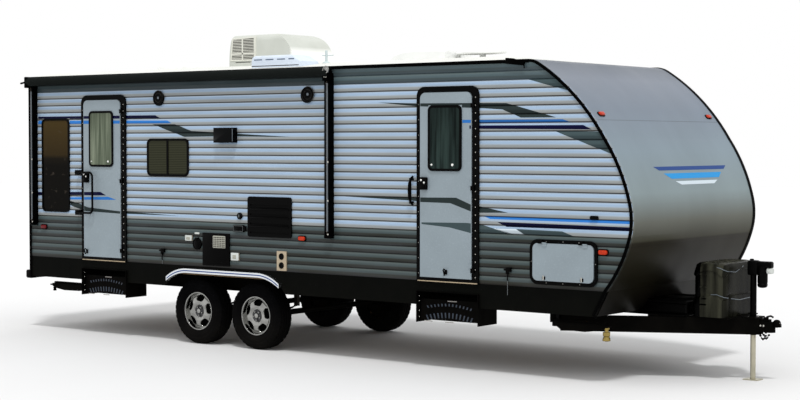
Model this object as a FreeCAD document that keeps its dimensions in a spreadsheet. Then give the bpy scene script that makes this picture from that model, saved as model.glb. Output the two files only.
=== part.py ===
"""Two-axle travel caravan with two entry doors, standing on its tongue jack.

+X points forward to the coupler, -Y is the door side and +Z is up. The origin lies on the ground
under the middle of the whole length. Stations are lengths measured forward from the rear wall.
"""
import FreeCAD, Part
import math
import os

import Sketcher

# Driving dimensions in millimetres and degrees
SIZES = {
    # body shell
    "body_length": 8150,
    "body_width": 2440,
    "roof_top": 2973,
    "siding_bottom": 858,
    "skirt_bottom": 622,
    "wall": 40,
    "roof_thickness": 80,
    "floor_thickness": 100,
    "skirt_thickness": 20,
    "rib_pitch": 80.3,
    "rib_depth": 9,
    "rib_flat": 36,
    "rib_lip": 7,
    "nose_length": 1108,
    "overrun": 20,
    "seat_gap": 0.3,
    "moving_gap": 5,
    "running_fit": 0.05,
    # trims
    "trim_width": 28,
    "trim_depth": 12,
    "gutter_height": 34,
    "gutter_depth": 20,
    "crown_rise": 96,
    "crown_fade": 940,
    "arch_lead": 35,
    "arch_flat": 990,
    "arch_reach": 334,
    "arch_top": 828,
    "arch_end": 728,
    "fender_height": 46,
    "fender_depth": 46,
    # chassis
    "rail_inset": 390,
    "rail_height": 180,
    "rail_flange": 64,
    "rail_sheet": 8,
    "cross_height": 100,
    "cross_width": 50,
    "outrigger_height": 90,
    "outrigger_width": 30,
    "tongue_reach": 855,
    "bumper_reach": 105,
    "bumper_size": 92,
    "bumper_inset": 100,
    "bumper_sheet": 4,
    "tongue_start": 985,
    "tongue_height": 150,
    "tongue_width": 52,
    "tongue_sheet": 6,
    "tongue_angle": 27,
    "tongue_nose": 660,
    "tray_length": 380,
    "tray_width": 620,
    "tray_height": 12,
    # coupler and jack
    "ball_ahead": 752,
    "ball_bore": 30,
    "ball_depth": 46,
    "coupler_shell": 16,
    "coupler_height": 96,
    "coupler_bottom": 452,
    "jack_ahead": 580,
    "jack_post_radius": 34,
    "jack_leg_radius": 25,
    "jack_post_bottom": 418,
    "jack_post_top": 985,
    "jack_top": 1112,
    "jack_head_width": 118,
    "jack_motor_radius": 43,
    "jack_motor_length": 190,
    "jack_motor_ahead": 118,
    "jack_foot_length": 150,
    "jack_foot_width": 120,
    "jack_foot_height": 10,
    "jack_overlap": 110,
    "jack_stroke": 340,
    # gas bottles
    "gas_ahead": 287,
    "gas_spread": 340,
    "gas_bottle_radius": 150,
    "gas_bottle_height": 420,
    "gas_cover_radius": 170,
    "gas_cover_height": 505,
    "gas_cover_sheet": 5,
    "gas_notch_depth": 46,
    # running gear
    "axle_station": 3115,
    "axle_spacing": 852,
    "tyre_radius": 358,
    "tyre_width": 225,
    "tyre_inset": 60,
    "bead_radius": 191,
    "flange_radius": 210,
    "rim_sheet": 7,
    "rim_dish": 40,
    "hub_radius": 82,
    "hub_bore": 20,
    "drum_radius": 145,
    "drum_width": 70,
    "axle_tube_radius": 31,
    "spring_width": 45,
    "spring_leaf": 9,
    "spring_span": 620,
    "equalizer_length": 190,
    # steps
    "door_width": 736,
    "step_bottom": 450,
    "step_depth": 320,
    "step_sheet": 6,
    "step_rise": 190,
    "step_pivot_height": 712,
    "step_pivot_inset": 22,
    "tread_depth": 202,
    "tread_sheet": 5,
    "tread_lip": 26,
    "tread_arm": 8,
    "tread_side_gap": 6,
    # stabilizers
    "stabilizer_length": 560,
    "stabilizer_width": 44,
    "stabilizer_height": 30,
    "stabilizer_inset": 190,
    "stabilizer_rear": 790,
    "stabilizer_back": 955,
    "stabilizer_foot": 96,
    "stabilizer_pin_height": 540,
    "stabilizer_pin_radius": 7,
    "stabilizer_ear": 6,
    # entry doors
    "rear_door": 924,
    "front_door_back": 2396,
    "door_bottom": 850,
    "door_top": 2739,
    "leaf_inset_latch": 48,
    "leaf_inset_hinge": 80,
    "leaf_inset_top": 58,
    "leaf_inset_bottom": 45,
    "door_corner": 92,
    "leaf_corner": 60,
    "door_frame_depth": 16,
    "leaf_proud": 8,
    "door_window_inset": 101,
    "door_window_width": 398,
    "door_window_bottom": 1924,
    "door_window_height": 634,
    "door_window_corner": 52,
    "window_rim": 24,
    "window_depth": 12,
    "glass": 5,
    "hinge_radius": 6,
    "hinge_play": 1,
    "hinge_height": 90,
    "hinge_plate": 30,
    "latch_width": 78,
    "latch_height": 118,
    "latch_bottom": 1744,
    "latch_depth": 30,
    # baggage doors
    "baggage_back": 1082,
    "baggage_width": 725,
    "baggage_bottom": 889,
    "baggage_height": 418,
    "baggage_rim": 36,
    "baggage_corner": 85,
    "baggage_leaf_corner": 52,
    # windows
    "window_corner": 62,
    "exit_window": 229,
    "exit_window_width": 481,
    "exit_window_bottom": 1391,
    "exit_window_height": 1088,
    "slider_station": 1995,
    "slider_width": 645,
    "slider_bottom": 1829,
    "slider_height": 414,
    "mullion": 26,
    "off_window_low": 1650,
    "off_window_height": 560,
    "off_window_width": 1060,
    "off_window_back": 2054,
    # awning
    "awning_rear": 83,
    "awning_arm_width": 66,
    "awning_arm_depth": 70,
    "awning_arm_bottom": 1233,
    "awning_radius": 52,
    "awning_height": 2912,
    "awning_out": 78,
    # wall fittings
    "speaker_radius": 80,
    "speaker_depth": 16,
    "speaker_drop": 288,
    "speaker_rear": 2184,
    "speaker_front": 4344,
    "porch_lamp_station": 3075,
    "porch_lamp_width": 283,
    "porch_lamp_bottom": 2198,
    "porch_lamp_height": 159,
    "porch_lamp_depth": 70,
    "fridge_vent_station": 3514,
    "fridge_vent_width": 614,
    "fridge_vent_bottom": 1207,
    "fridge_vent_height": 424,
    "fridge_vent_corner": 30,
    "louvre_count": 4,
    "vent_depth": 14,
    "heater_station": 2852,
    "heater_width": 395,
    "heater_bottom": 874,
    "heater_height": 352,
    "furnace_station": 3927,
    "furnace_width": 130,
    "furnace_bottom": 866,
    "furnace_height": 203,
    "furnace_port": 24,
    "inlet_station": 2593,
    "inlet_width": 97,
    "inlet_bottom": 1132,
    "inlet_height": 58,
    "shore_station": 2767,
    "shore_height": 1101,
    "shore_radius": 60,
    "water_station": 3277,
    "water_width": 105,
    "water_bottom": 945,
    "water_height": 80,
    "marker_width": 96,
    "marker_height": 42,
    "marker_depth": 24,
    "marker_level": 1190,
    "marker_rear": 208,
    "marker_middle": 4220,
    "marker_nose": 350,
    "tail_lamp_width": 210,
    "tail_lamp_height": 150,
    "tail_lamp_level": 1060,
    "tail_lamp_inset": 240,
    "handle_gap": 54,
    "handle_bottom": 1604,
    "handle_height": 250,
    "handle_rod": 12,
    "handle_out": 58,
    "loop_bottom": 1395,
    "loop_height": 462,
    "loop_reach": 284,
    "loop_overhang": 36,
    "loop_out": 76,
    "loop_bracket": 54,
    "loop_bend": 50,
    "catch_level": 989,
    "catch_ahead": 569,
    "catch_front_ahead": 326,
    "catch_width": 42,
    # roof equipment
    "cooler_station": 2425,
    "cooler_length": 960,
    "cooler_width": 700,
    "cooler_height": 341,
    "cooler_pan": 46,
    "cooler_grille": 400,
    "cooler_bulge": 45,
    "fridge_cap_lead": 84,
    "fridge_cap_inset": 140,
    "fridge_cap_width": 300,
    "fridge_cap_height": 112,
    "vent_cover_station": 4670,
    "vent_cover_length": 700,
    "vent_cover_width": 480,
    "vent_cover_height": 120,
    "bath_vent_station": 1100,
    "vent_size": 400,
    "vent_height": 60,
    "antenna_station": 5380,
    "antenna_length": 600,
    "antenna_width": 90,
    "antenna_height": 100,
    "antenna_post": 34,
    "pipe_station": 4082,
    "pipe_radius": 14,
    "pipe_height": 110,
}

# Nose outline as shares: back from the tip along the nose, and up from the siding's bottom edge
NOSE_BACK_SHARES = (1.0, 0.9025, 0.2536, 0.0151, 0.0139, 0.2401)
NOSE_UP_SHARES = (1.0, 0.9868, 0.6525, 0.3727, 0.2370, 0.0)
NOSE_RADIUS_SHARES = (0.2013, 1.895, 1.526, 0.5866, 1.173)
NOSE_FOOT_SHARE = 0.352
AWNING_FRONT_SHARE = 0.3075031

RIB_COUNT = 26
WHEEL_WINDOWS = 5
DOOR_SIDE = -1
OFF_SIDE = 1

doc = FreeCAD.newDocument("travel_caravan")
sheet = doc.addObject("Spreadsheet::Sheet", "sizes")
nodes = {}


class Size:
    """A length that carries its number and the sheet expression that gives it."""

    def __init__(self, text, number):
        self.text = text
        self.number = number

    def __add__(self, other):
        other = as_size(other)
        return Size(f"({self.text} + {other.text})", self.number + other.number)

    def __sub__(self, other):
        other = as_size(other)
        return Size(f"({self.text} - {other.text})", self.number - other.number)

    def __mul__(self, share):
        share = as_size(share)
        return Size(f"({self.text} * {share.text})", self.number * share.number)

    def __truediv__(self, share):
        share = as_size(share)
        return Size(f"({self.text} / {share.text})", self.number / share.number)

    def __neg__(self):
        return Size(f"(-{self.text})", -self.number)

    __radd__ = __add__
    __rmul__ = __mul__


def as_size(value):
    """Take a size as it is, and wrap a plain share or count."""
    return value if isinstance(value, Size) else Size(str(value), value)


def cosine(angle):
    return Size(f"cos({angle.text} * 1 deg)", math.cos(math.radians(angle.number)))


def sine(angle):
    return Size(f"sin({angle.text} * 1 deg)", math.sin(math.radians(angle.number)))


class Sizes:
    """The sheet's cells by name."""

    def __init__(self, table):
        for row, (name, number) in enumerate(table.items(), start=1):
            sheet.set(f"A{row}", name)
            sheet.set(f"B{row}", str(number))
            sheet.setAlias(f"B{row}", name)
            setattr(self, name, Size(f"sizes.{name}", number))


S = Sizes(SIZES)
doc.recompute()

ZERO = as_size(0)
HALF_WIDTH = S.body_width / 2
INNER_HALF = HALF_WIDTH - S.wall
ORIGIN_STATION = (S.body_length + S.tongue_reach - S.bumper_reach) / 2
FLOOR_BOTTOM = S.siding_bottom - S.floor_thickness
ROOF_BOTTOM = S.roof_top - S.roof_thickness
RAIL_BOTTOM = FLOOR_BOTTOM - S.rail_height
TONGUE_BOTTOM = RAIL_BOTTOM - S.tongue_height
CROWN_STATION = S.body_length - S.nose_length
FRONT_DOOR = S.body_length - S.front_door_back
BAGGAGE_STATION = S.body_length - S.baggage_back
STABILIZER_SPREAD = S.body_width - S.stabilizer_inset * 2
RAIL_SPREAD = S.body_width - S.rail_inset * 2


def along(station):
    """X of a station measured forward from the rear wall."""
    return station - ORIGIN_STATION


# Drawing helpers


def bind(item, **expressions):
    """Bind properties of an object to sizes; a double underscore stands for a dot."""
    for name, size in expressions.items():
        item.setExpression(name.replace("__", "."), as_size(size).text)


def place(item, x=ZERO, y=ZERO, z=ZERO, axis=None, angle=None):
    """Put an object at a bound place, turned about an axis by a bound or fixed angle."""
    if axis is not None and not isinstance(angle, Size):
        item.Placement = FreeCAD.Placement(FreeCAD.Vector(), FreeCAD.Rotation(FreeCAD.Vector(*axis), angle))
    elif axis is not None:
        item.Placement = FreeCAD.Placement(FreeCAD.Vector(), FreeCAD.Rotation(FreeCAD.Vector(*axis), 1))
        bind(item, Placement__Rotation__Angle=angle)
    bind(item, Placement__Base__x=x, Placement__Base__y=y, Placement__Base__z=z)
    return item


def arc_geometry(start, end, radius):
    """Arc from start to end that bulges to the left of the way there, or right for a negative radius."""
    chord = end - start
    middle = (start + end) * 0.5
    left = FreeCAD.Vector(-chord.y, chord.x, 0).normalize()
    size = abs(radius)
    drop = math.sqrt(max(size * size - (chord.Length / 2) ** 2, 0))
    side = 1 if radius > 0 else -1
    centre = middle - left * side * drop
    first, last = (end, start) if side > 0 else (start, end)
    angles = [math.atan2(point.y - centre.y, point.x - centre.x) for point in (first, last)]
    circle = Part.Circle(centre, FreeCAD.Vector(0, 0, 1), size)
    return Part.ArcOfCircle(circle, *angles)


def draw(sketch, points, arcs=None):
    """Draw a closed outline of bound points in a sketch; arcs gives a side's radius by its index."""
    arcs = arcs or {}
    spots = [FreeCAD.Vector(as_size(a).number, as_size(b).number, 0) for a, b in points]
    count = len(points)
    first_side = sketch.GeometryCount
    for side, spot in enumerate(spots):
        following = spots[(side + 1) % count]
        if side in arcs:
            sketch.addGeometry(arc_geometry(spot, following, arcs[side].number), False)
        else:
            sketch.addGeometry(Part.LineSegment(spot, following), False)
    rules = []
    for side in range(count):
        following = (side + 1) % count
        start_of = 2 if following in arcs and arcs[following].number > 0 else 1
        end_of = 1 if side in arcs and arcs[side].number > 0 else 2
        rules.append((Sketcher.Constraint("Coincident", first_side + side, end_of,
                                          first_side + following, start_of), None))
    for side, (a, b) in enumerate(points):
        start_of = 2 if side in arcs and arcs[side].number > 0 else 1
        for kind, size in (("DistanceX", as_size(a)), ("DistanceY", as_size(b))):
            rule = Sketcher.Constraint(kind, -1, 1, first_side + side, start_of, size.number)
            rules.append((rule, size))
    for side, radius in arcs.items():
        size = radius if radius.number > 0 else -radius
        rules.append((Sketcher.Constraint("Radius", first_side + side, size.number), size))
    first_rule = sketch.ConstraintCount
    sketch.addConstraint([rule for rule, _ in rules])
    for index, (_, size) in enumerate(rules, start=first_rule):
        if size is not None:
            sketch.renameConstraint(index, f"rule{index}")
            sketch.setExpression(f"Constraints.rule{index}", size.text)


def draw_ring(sketch, centre, radius):
    """Draw a bound circle in a sketch."""
    a, b = as_size(centre[0]), as_size(centre[1])
    side = sketch.GeometryCount
    spot = FreeCAD.Vector(a.number, b.number, 0)
    sketch.addGeometry(Part.Circle(spot, FreeCAD.Vector(0, 0, 1), radius.number), False)
    rules = (("DistanceX", a), ("DistanceY", b))
    for kind, size in rules:
        index = sketch.addConstraint(Sketcher.Constraint(kind, -1, 1, side, 3, size.number))
        sketch.renameConstraint(index, f"rule{index}")
        sketch.setExpression(f"Constraints.rule{index}", size.text)
    index = sketch.addConstraint(Sketcher.Constraint("Radius", side, radius.number))
    sketch.renameConstraint(index, f"rule{index}")
    sketch.setExpression(f"Constraints.rule{index}", radius.text)


def rounded(low_a, low_b, high_a, high_b, radius, low_radius=None):
    """Closed rectangle with rounded corners; low_radius rounds the lower two, zero for square ones."""
    low = radius if low_radius is None else low_radius
    if low is ZERO:
        points = [(low_a, low_b), (high_a, low_b), (high_a, high_b - radius), (high_a - radius, high_b),
                  (low_a + radius, high_b), (low_a, high_b - radius)]
        return points, {2: -radius, 4: -radius}
    points = [(low_a + low, low_b), (high_a - low, low_b), (high_a, low_b + low), (high_a, high_b - radius),
              (high_a - radius, high_b), (low_a + radius, high_b), (low_a, high_b - radius),
              (low_a, low_b + low)]
    return points, {1: -low, 3: -radius, 5: -radius, 7: -low}


def rectangle(low_a, low_b, high_a, high_b):
    """Closed rectangle with square corners."""
    return [(low_a, low_b), (high_a, low_b), (high_a, high_b), (low_a, high_b)], {}


# Solid helpers

PLANE_ROLES = {"X": "YZ_Plane", "Y": "XZ_Plane", "Z": "XY_Plane"}


def new_body(name):
    return doc.addObject("PartDesign::Body", name)


def body_origin(body, role):
    return next(item for item in body.Origin.OriginFeatures if item.Role == role)


def new_sketch(body, name, axis, offset=ZERO):
    """Sketch across an axis, at a bound place along it."""
    sketch = body.newObject("Sketcher::SketchObject", name)
    sketch.AttachmentSupport = [(body_origin(body, PLANE_ROLES[axis]), "")]
    sketch.MapMode = "FlatFace"
    away = -offset if axis == "Y" else offset
    bind(sketch, AttachmentOffset__Base__z=away)
    return sketch


def pad(body, name, axis, low, length, outlines=(), rings=()):
    """Add material between low and low + length along an axis, from closed outlines."""
    sketch = new_sketch(body, f"{name}_sketch", axis, low + length if axis == "Y" else low)
    for points, arcs in outlines:
        draw(sketch, points, arcs)
    for centre, radius in rings:
        draw_ring(sketch, centre, radius)
    feature = body.newObject("PartDesign::Pad", name)
    feature.Profile = sketch
    bind(feature, Length=length)
    body.Tip = feature
    return feature


def pocket(body, name, axis, low, length, outlines=(), rings=()):
    """Cut material between low and low + length along an axis, within closed outlines."""
    sketch = new_sketch(body, f"{name}_sketch", axis, low if axis == "Y" else low + length)
    for points, arcs in outlines:
        draw(sketch, points, arcs)
    for centre, radius in rings:
        draw_ring(sketch, centre, radius)
    feature = body.newObject("PartDesign::Pocket", name)
    feature.Profile = sketch
    bind(feature, Length=length)
    body.Tip = feature
    return feature


def prism(name, axis, low, length, outlines=(), rings=()):
    """Body that is one pad across an axis."""
    body = new_body(name)
    pad(body, f"{name}_pad", axis, low, length, outlines, rings)
    return body


def repeat(body, name, feature, axis, pitch, count):
    """Repeat a feature of a body along one of its axes."""
    pattern = body.newObject("PartDesign::LinearPattern", name)
    pattern.Originals = [feature]
    pattern.Direction = (body_origin(body, f"{axis}_Axis"), [""])
    bind(pattern, Length=pitch * (count - 1))
    pattern.Occurrences = count
    body.Tip = pattern
    return pattern


def block(name, x, y, z):
    """Box from a low corner and a length along each axis."""
    box = doc.addObject("Part::Box", name)
    bind(box, Length=x[1], Width=y[1], Height=z[1])
    return place(box, x[0], y[0], z[0])


TURNS = {"X": ((0, 1, 0), 90), "Y": ((1, 0, 0), -90), "Z": ((0, 0, 1), 0)}


def rod(name, axis, x, y, z, radius, length):
    """Cylinder that starts at a point and runs along an axis."""
    cylinder = doc.addObject("Part::Cylinder", name)
    bind(cylinder, Radius=radius, Height=length)
    turn, angle = TURNS[axis]
    return place(cylinder, x, y, z, turn, angle)


def join(name, pieces):
    """Weld pieces into one solid."""
    fused = doc.addObject("Part::MultiFuse", name)
    fused.Shapes = pieces
    fused.Refine = True
    return fused


def cut(name, base, tool):
    result = doc.addObject("Part::Cut", name)
    result.Base = base
    result.Tool = tool
    return result


def common(name, pieces):
    result = doc.addObject("Part::MultiCommon", name)
    result.Shapes = pieces
    return result


def group(name, pieces):
    """Keep pieces of one node together, each a solid of its own."""
    compound = doc.addObject("Part::Compound", name)
    compound.Links = pieces
    return compound


def mirrored(name, source, normal=(0, 1, 0)):
    """Copy on the other side of the centre plane."""
    mirror = doc.addObject("Part::Mirroring", name)
    mirror.Source = source
    mirror.Normal = FreeCAD.Vector(*normal)
    return mirror


def both_sides(name, source):
    """A piece and its mirror image in one node."""
    return group(name, [source, mirrored(f"{name}_far", source)])


def on_side(name, source, side):
    """A piece drawn for the door side, moved to the other side where asked."""
    return source if side == DOOR_SIDE else mirrored(name, source)


def node(name, item):
    """Name a finished sub-part; its label names its file."""
    item.Label = name
    nodes[name] = item
    return item


# Body outline


def nose_points():
    """Nose outline from the crown down to the siding's bottom edge, with the radius of each stretch."""
    rise = S.roof_top - S.siding_bottom
    points = []
    for back, up in zip(NOSE_BACK_SHARES, NOSE_UP_SHARES):
        points.append((along(S.body_length - S.nose_length * back), S.siding_bottom + rise * up))
    radii = [S.nose_length * share for share in NOSE_RADIUS_SHARES]
    return points, radii


def nose_foot():
    """Lowest point of the nose, at the skirt's bottom edge."""
    return along(S.body_length - S.nose_length * NOSE_FOOT_SHARE), S.skirt_bottom


def nose_wire(name):
    """Open sketch of the whole nose, standing in the centre plane."""
    points, radii = nose_points()
    points = points + [nose_foot()]
    sketch = doc.addObject("Sketcher::SketchObject", name)
    sketch.Placement = FreeCAD.Placement(FreeCAD.Vector(), FreeCAD.Rotation(FreeCAD.Vector(1, 0, 0), 90))
    spots = [FreeCAD.Vector(a.number, b.number, 0) for a, b in points]
    for side in range(len(radii)):
        sketch.addGeometry(arc_geometry(spots[side], spots[side + 1], radii[side].number), False)
    sketch.addGeometry(Part.LineSegment(spots[-2], spots[-1]), False)
    rules = []
    for side, (a, b) in enumerate(points):
        last = side == len(points) - 1
        geometry = side - 1 if last else side
        end = 2 if last or side < len(radii) else 1
        rules.append((Sketcher.Constraint("DistanceX", -1, 1, geometry, end, a.number), a))
        rules.append((Sketcher.Constraint("DistanceY", -1, 1, geometry, end, b.number), b))
    for side, radius in enumerate(radii):
        rules.append((Sketcher.Constraint("Radius", side, radius.number), radius))
        start_of_next = 2 if side + 1 < len(radii) else 1
        rules.append((Sketcher.Constraint("Coincident", side, 1, side + 1, start_of_next), None))
    sketch.addConstraint([rule for rule, _ in rules])
    for index, (_, size) in enumerate(rules):
        if size is not None:
            sketch.renameConstraint(index, f"rule{index}")
            sketch.setExpression(f"Constraints.rule{index}", size.text)
    return sketch


def siding_outline():
    """Side wall from the rear edge along the roof and round the nose, above the skirt."""
    nose, radii = nose_points()
    points = [(along(ZERO), S.siding_bottom), (along(ZERO), S.roof_top)] + nose
    return points, {side + 2: radius for side, radius in enumerate(radii)}


# Openings in the walls


def entry_frame(station):
    """Outer edge of an entry door's frame."""
    return rounded(along(station), S.door_bottom, along(station + S.door_width), S.door_top,
                   S.door_corner, ZERO)


def entry_hole(station, grow=ZERO):
    """Edge of an entry door's leaf, or of the hole around it when grown by the moving gap."""
    return rounded(along(station + S.leaf_inset_latch) - grow, S.door_bottom + S.leaf_inset_bottom - grow,
                   along(station + S.door_width - S.leaf_inset_hinge) + grow,
                   S.door_top - S.leaf_inset_top + grow, S.leaf_corner, ZERO)


def entry_hinge(station):
    """X and Y of an entry door's hinge axis, just outside the leaf on its forward edge."""
    x = along(station + S.door_width - S.leaf_inset_hinge) + S.moving_gap / 2
    return x, leaf_face() - S.hinge_radius - S.hinge_play


def baggage_hinge():
    """Y and Z of a baggage door's hinge axis, just outside the leaf on its top edge."""
    top = S.baggage_bottom + S.baggage_height - S.baggage_rim
    return leaf_face() - S.hinge_radius - S.hinge_play, top + S.moving_gap / 2


def baggage_edge(inset):
    """Edge of a baggage door at an inset from its frame's outer edge."""
    radius = S.baggage_corner - inset * 0.9
    return rounded(along(BAGGAGE_STATION) + inset, S.baggage_bottom + inset,
                   along(BAGGAGE_STATION + S.baggage_width) - inset,
                   S.baggage_bottom + S.baggage_height - inset, radius)


def window_edge(station, width, bottom, height, inset=ZERO):
    """Edge of a window at an inset from its frame's outer edge."""
    return rounded(along(station) + inset, bottom + inset, along(station + width) - inset,
                   bottom + height - inset, S.window_corner - inset * 0.9)


DOOR_SIDE_WINDOWS = (
    (S.exit_window, S.exit_window_width, S.exit_window_bottom, S.exit_window_height),
    (S.slider_station, S.slider_width, S.slider_bottom, S.slider_height),
)
OFF_SIDE_WINDOWS = (
    (S.exit_window, S.exit_window_width, S.slider_bottom, S.slider_height),
    (FRONT_DOOR - S.off_window_back, S.off_window_width, S.off_window_low, S.off_window_height),
    (FRONT_DOOR, S.slider_width, S.slider_bottom, S.slider_height),
)


# Walls, floor and roof


def siding_wall(name, side, windows, doors):
    """Ribbed side wall with its windows and doors cut through."""
    body = new_body(name)
    low = -HALF_WIDTH if side == DOOR_SIDE else HALF_WIDTH - S.wall
    pad(body, f"{name}_slab", "Y", low, S.wall, [siding_outline()])
    face = HALF_WIDTH * side
    past = face + S.overrun * side
    root = face - S.rib_depth * side
    foot = S.siding_bottom
    groove = [(past, foot + S.rib_flat), (face, foot + S.rib_flat), (root, foot + S.rib_pitch),
              (face, foot + S.rib_pitch + S.rib_lip), (past, foot + S.rib_pitch + S.rib_lip)]
    rib = pocket(body, f"{name}_groove", "X", along(ZERO) - S.overrun, S.body_length + S.overrun * 2,
                 [(groove, {})])
    repeat(body, f"{name}_ribs", rib, "Z", S.rib_pitch, RIB_COUNT - 1)
    holes = [window_edge(*window, S.window_rim) for window in windows]
    holes += [entry_hole(door, S.moving_gap) for door in doors]
    holes.append(baggage_edge(S.baggage_rim - S.moving_gap))
    pocket(body, f"{name}_openings", "Y", low - S.overrun, S.wall + S.overrun * 2, holes)
    return node(name, body)


def front_wall():
    """Smooth curved front panel between the side walls."""
    offset = doc.addObject("Part::Offset2D", "front_wall_section")
    offset.Source = nose_wire("nose_line")
    offset.Mode = "Skin"
    offset.Fill = True
    bind(offset, Value=S.wall)
    panel = doc.addObject("Part::Extrusion", "front_wall_panel")
    panel.Base = offset
    panel.DirMode = "Custom"
    panel.Dir = FreeCAD.Vector(0, 1, 0)
    panel.Solid = True
    bind(panel, LengthFwd=INNER_HALF, LengthRev=INNER_HALF)
    return node("front_wall", panel)


def rear_wall():
    """Ribbed rear wall between the side walls."""
    body = new_body("rear_wall")
    pad(body, "rear_wall_slab", "Y", -INNER_HALF, INNER_HALF * 2,
        [rectangle(along(ZERO), S.skirt_bottom, along(S.wall), ROOF_BOTTOM)])
    face = along(ZERO)
    past = face - S.overrun
    root = face + S.rib_depth
    foot = S.siding_bottom
    groove = [(past, foot + S.rib_flat), (face, foot + S.rib_flat), (root, foot + S.rib_pitch),
              (face, foot + S.rib_pitch + S.rib_lip), (past, foot + S.rib_pitch + S.rib_lip)]
    rib = pocket(body, "rear_wall_groove", "Y", -HALF_WIDTH, S.body_width, [(groove, {})])
    repeat(body, "rear_wall_ribs", rib, "Z", S.rib_pitch, RIB_COUNT - 2)
    return node("rear_wall", body)


def crown_outline(low, rise, lift=ZERO):
    """Section across the roof: flat below at low, and crowned above by a rise."""
    half = INNER_HALF
    radius = (half * half + rise * rise) / (rise * 2)
    edge = S.roof_top + lift
    return [(-half, low), (half, low), (half, edge), (-half, edge)], {2: -radius}


def roof():
    """Crowned roof panel between the side walls, which falls to flat at the crown of the nose."""
    front = CROWN_STATION - S.seat_gap
    high = S.roof_top + S.crown_rise
    arched = prism("roof_arched", "X", along(ZERO), front, [crown_outline(ROOF_BOTTOM, S.crown_rise)])
    profile = [(along(ZERO) - S.overrun, ROOF_BOTTOM - S.overrun), (along(front), ROOF_BOTTOM - S.overrun),
               (along(front), S.roof_top + S.seat_gap), (along(front - S.crown_fade), high + S.seat_gap),
               (along(ZERO) - S.overrun, high + S.seat_gap)]
    side = prism("roof_side", "Y", -HALF_WIDTH, S.body_width, [(profile, {})])
    return node("roof", common("roof", [arched, side]))


def on_crown(name, item):
    """Trim the foot of a roof fitting to the crown, a seat's width above it."""
    tool = prism(f"{name}_crown", "X", along(ZERO), S.body_length,
                 [crown_outline(ROOF_BOTTOM - S.roof_thickness, S.crown_rise, S.seat_gap * 2)])
    return cut(f"{name}_seated", item, tool)


def floor():
    """Floor panel that ends on the inside of the front panel."""
    foot_station, _ = nose_foot()
    points, _ = nose_points()
    knee_station, _ = points[-1]
    slope = (knee_station - foot_station) / (S.siding_bottom - S.skirt_bottom)
    inside = S.wall * 1.16
    top = knee_station - inside
    low = knee_station - slope * S.floor_thickness - inside
    outline = [(along(S.wall), FLOOR_BOTTOM), (low, FLOOR_BOTTOM), (top, S.siding_bottom),
               (along(S.wall), S.siding_bottom)]
    return node("floor", prism("floor", "Y", -INNER_HALF, INNER_HALF * 2, [(outline, {})]))


def arch_station():
    """Station of the middle of the wheel arch."""
    return S.axle_station + S.arch_lead


def arch_points(drop):
    """Wheel arch edge from rear to front, lowered by drop."""
    middle = along(arch_station())
    knee = S.arch_flat / 2
    end = knee + S.arch_reach
    return [(middle - end, S.arch_end - drop), (middle - knee, S.arch_top - drop),
            (middle + knee, S.arch_top - drop), (middle + end, S.arch_end - drop)]


def skirt(side):
    """Dark lower panel of one side, open over the wheels and, on the door side, round the steps."""
    name = "skirt_door_side" if side == DOOR_SIDE else "skirt_off_side"
    points, _ = nose_points()
    foot = nose_foot()
    body = new_body(name)
    low = -HALF_WIDTH if side == DOOR_SIDE else HALF_WIDTH - S.skirt_thickness
    outline = [(along(ZERO), S.skirt_bottom), foot, points[-1], (along(ZERO), S.siding_bottom)]
    pad(body, f"{name}_panel", "Y", low, S.skirt_thickness, [(outline, {})])
    rear_end, rear_knee, front_knee, front_end = arch_points(S.fender_height)
    lip = S.skirt_bottom - S.overrun
    edge = S.arch_reach * 0.2
    arch = [(rear_end[0] - edge, lip), rear_end, rear_knee, front_knee, front_end, (front_end[0] + edge, lip)]
    holes = [(arch, {1: S.arch_reach * 1.6, 3: S.arch_reach * 1.6})]
    if side == DOOR_SIDE:
        for door in (S.rear_door, FRONT_DOOR):
            holes.append(rectangle(along(door), lip, along(door + S.door_width), FLOOR_BOTTOM))
    pocket(body, f"{name}_openings", "Y", low - S.overrun, S.skirt_thickness + S.overrun * 2, holes)
    return body


def skirts():
    return node("skirts", group("skirts", [skirt(DOOR_SIDE), skirt(OFF_SIDE)]))


def fender_trims():
    """Bright lips over the wheel arches."""
    outer = arch_points(ZERO)
    inner = arch_points(S.fender_height)
    bend = S.arch_reach * 1.6
    outline = inner + outer[::-1]
    strip = prism("fender_trim", "Y", -(HALF_WIDTH + S.fender_depth), S.fender_depth,
                  [(outline, {0: bend, 2: bend, 4: -bend, 6: -bend})])
    return node("fender_trims", both_sides("fender_trims", strip))


def edge_trims():
    """Black mouldings along the nose edges, the roof edges and the rear corners."""
    offset = doc.addObject("Part::Offset2D", "nose_trim_section")
    offset.Source = nose_wire("nose_trim_line")
    offset.Mode = "Skin"
    offset.Fill = True
    bind(offset, Value=S.trim_width)
    moulding = doc.addObject("Part::Extrusion", "nose_trim")
    moulding.Base = offset
    moulding.DirMode = "Custom"
    moulding.Dir = FreeCAD.Vector(0, -1, 0)
    moulding.Solid = True
    bind(moulding, LengthFwd=HALF_WIDTH + S.trim_depth, LengthRev=-HALF_WIDTH)
    gutter = block("roof_gutter", (along(ZERO), CROWN_STATION),
                   (-(HALF_WIDTH + S.gutter_depth), S.gutter_depth),
                   (S.roof_top - S.gutter_height, S.gutter_height))
    corner = block("rear_corner_trim", (along(ZERO), S.trim_width),
                   (-(HALF_WIDTH + S.trim_depth), S.trim_depth),
                   (S.skirt_bottom, S.roof_top - S.gutter_height - S.skirt_bottom))
    near = group("edge_trims_near", [moulding, gutter, corner])
    return node("edge_trims", both_sides("edge_trims", near))


# Chassis


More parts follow.
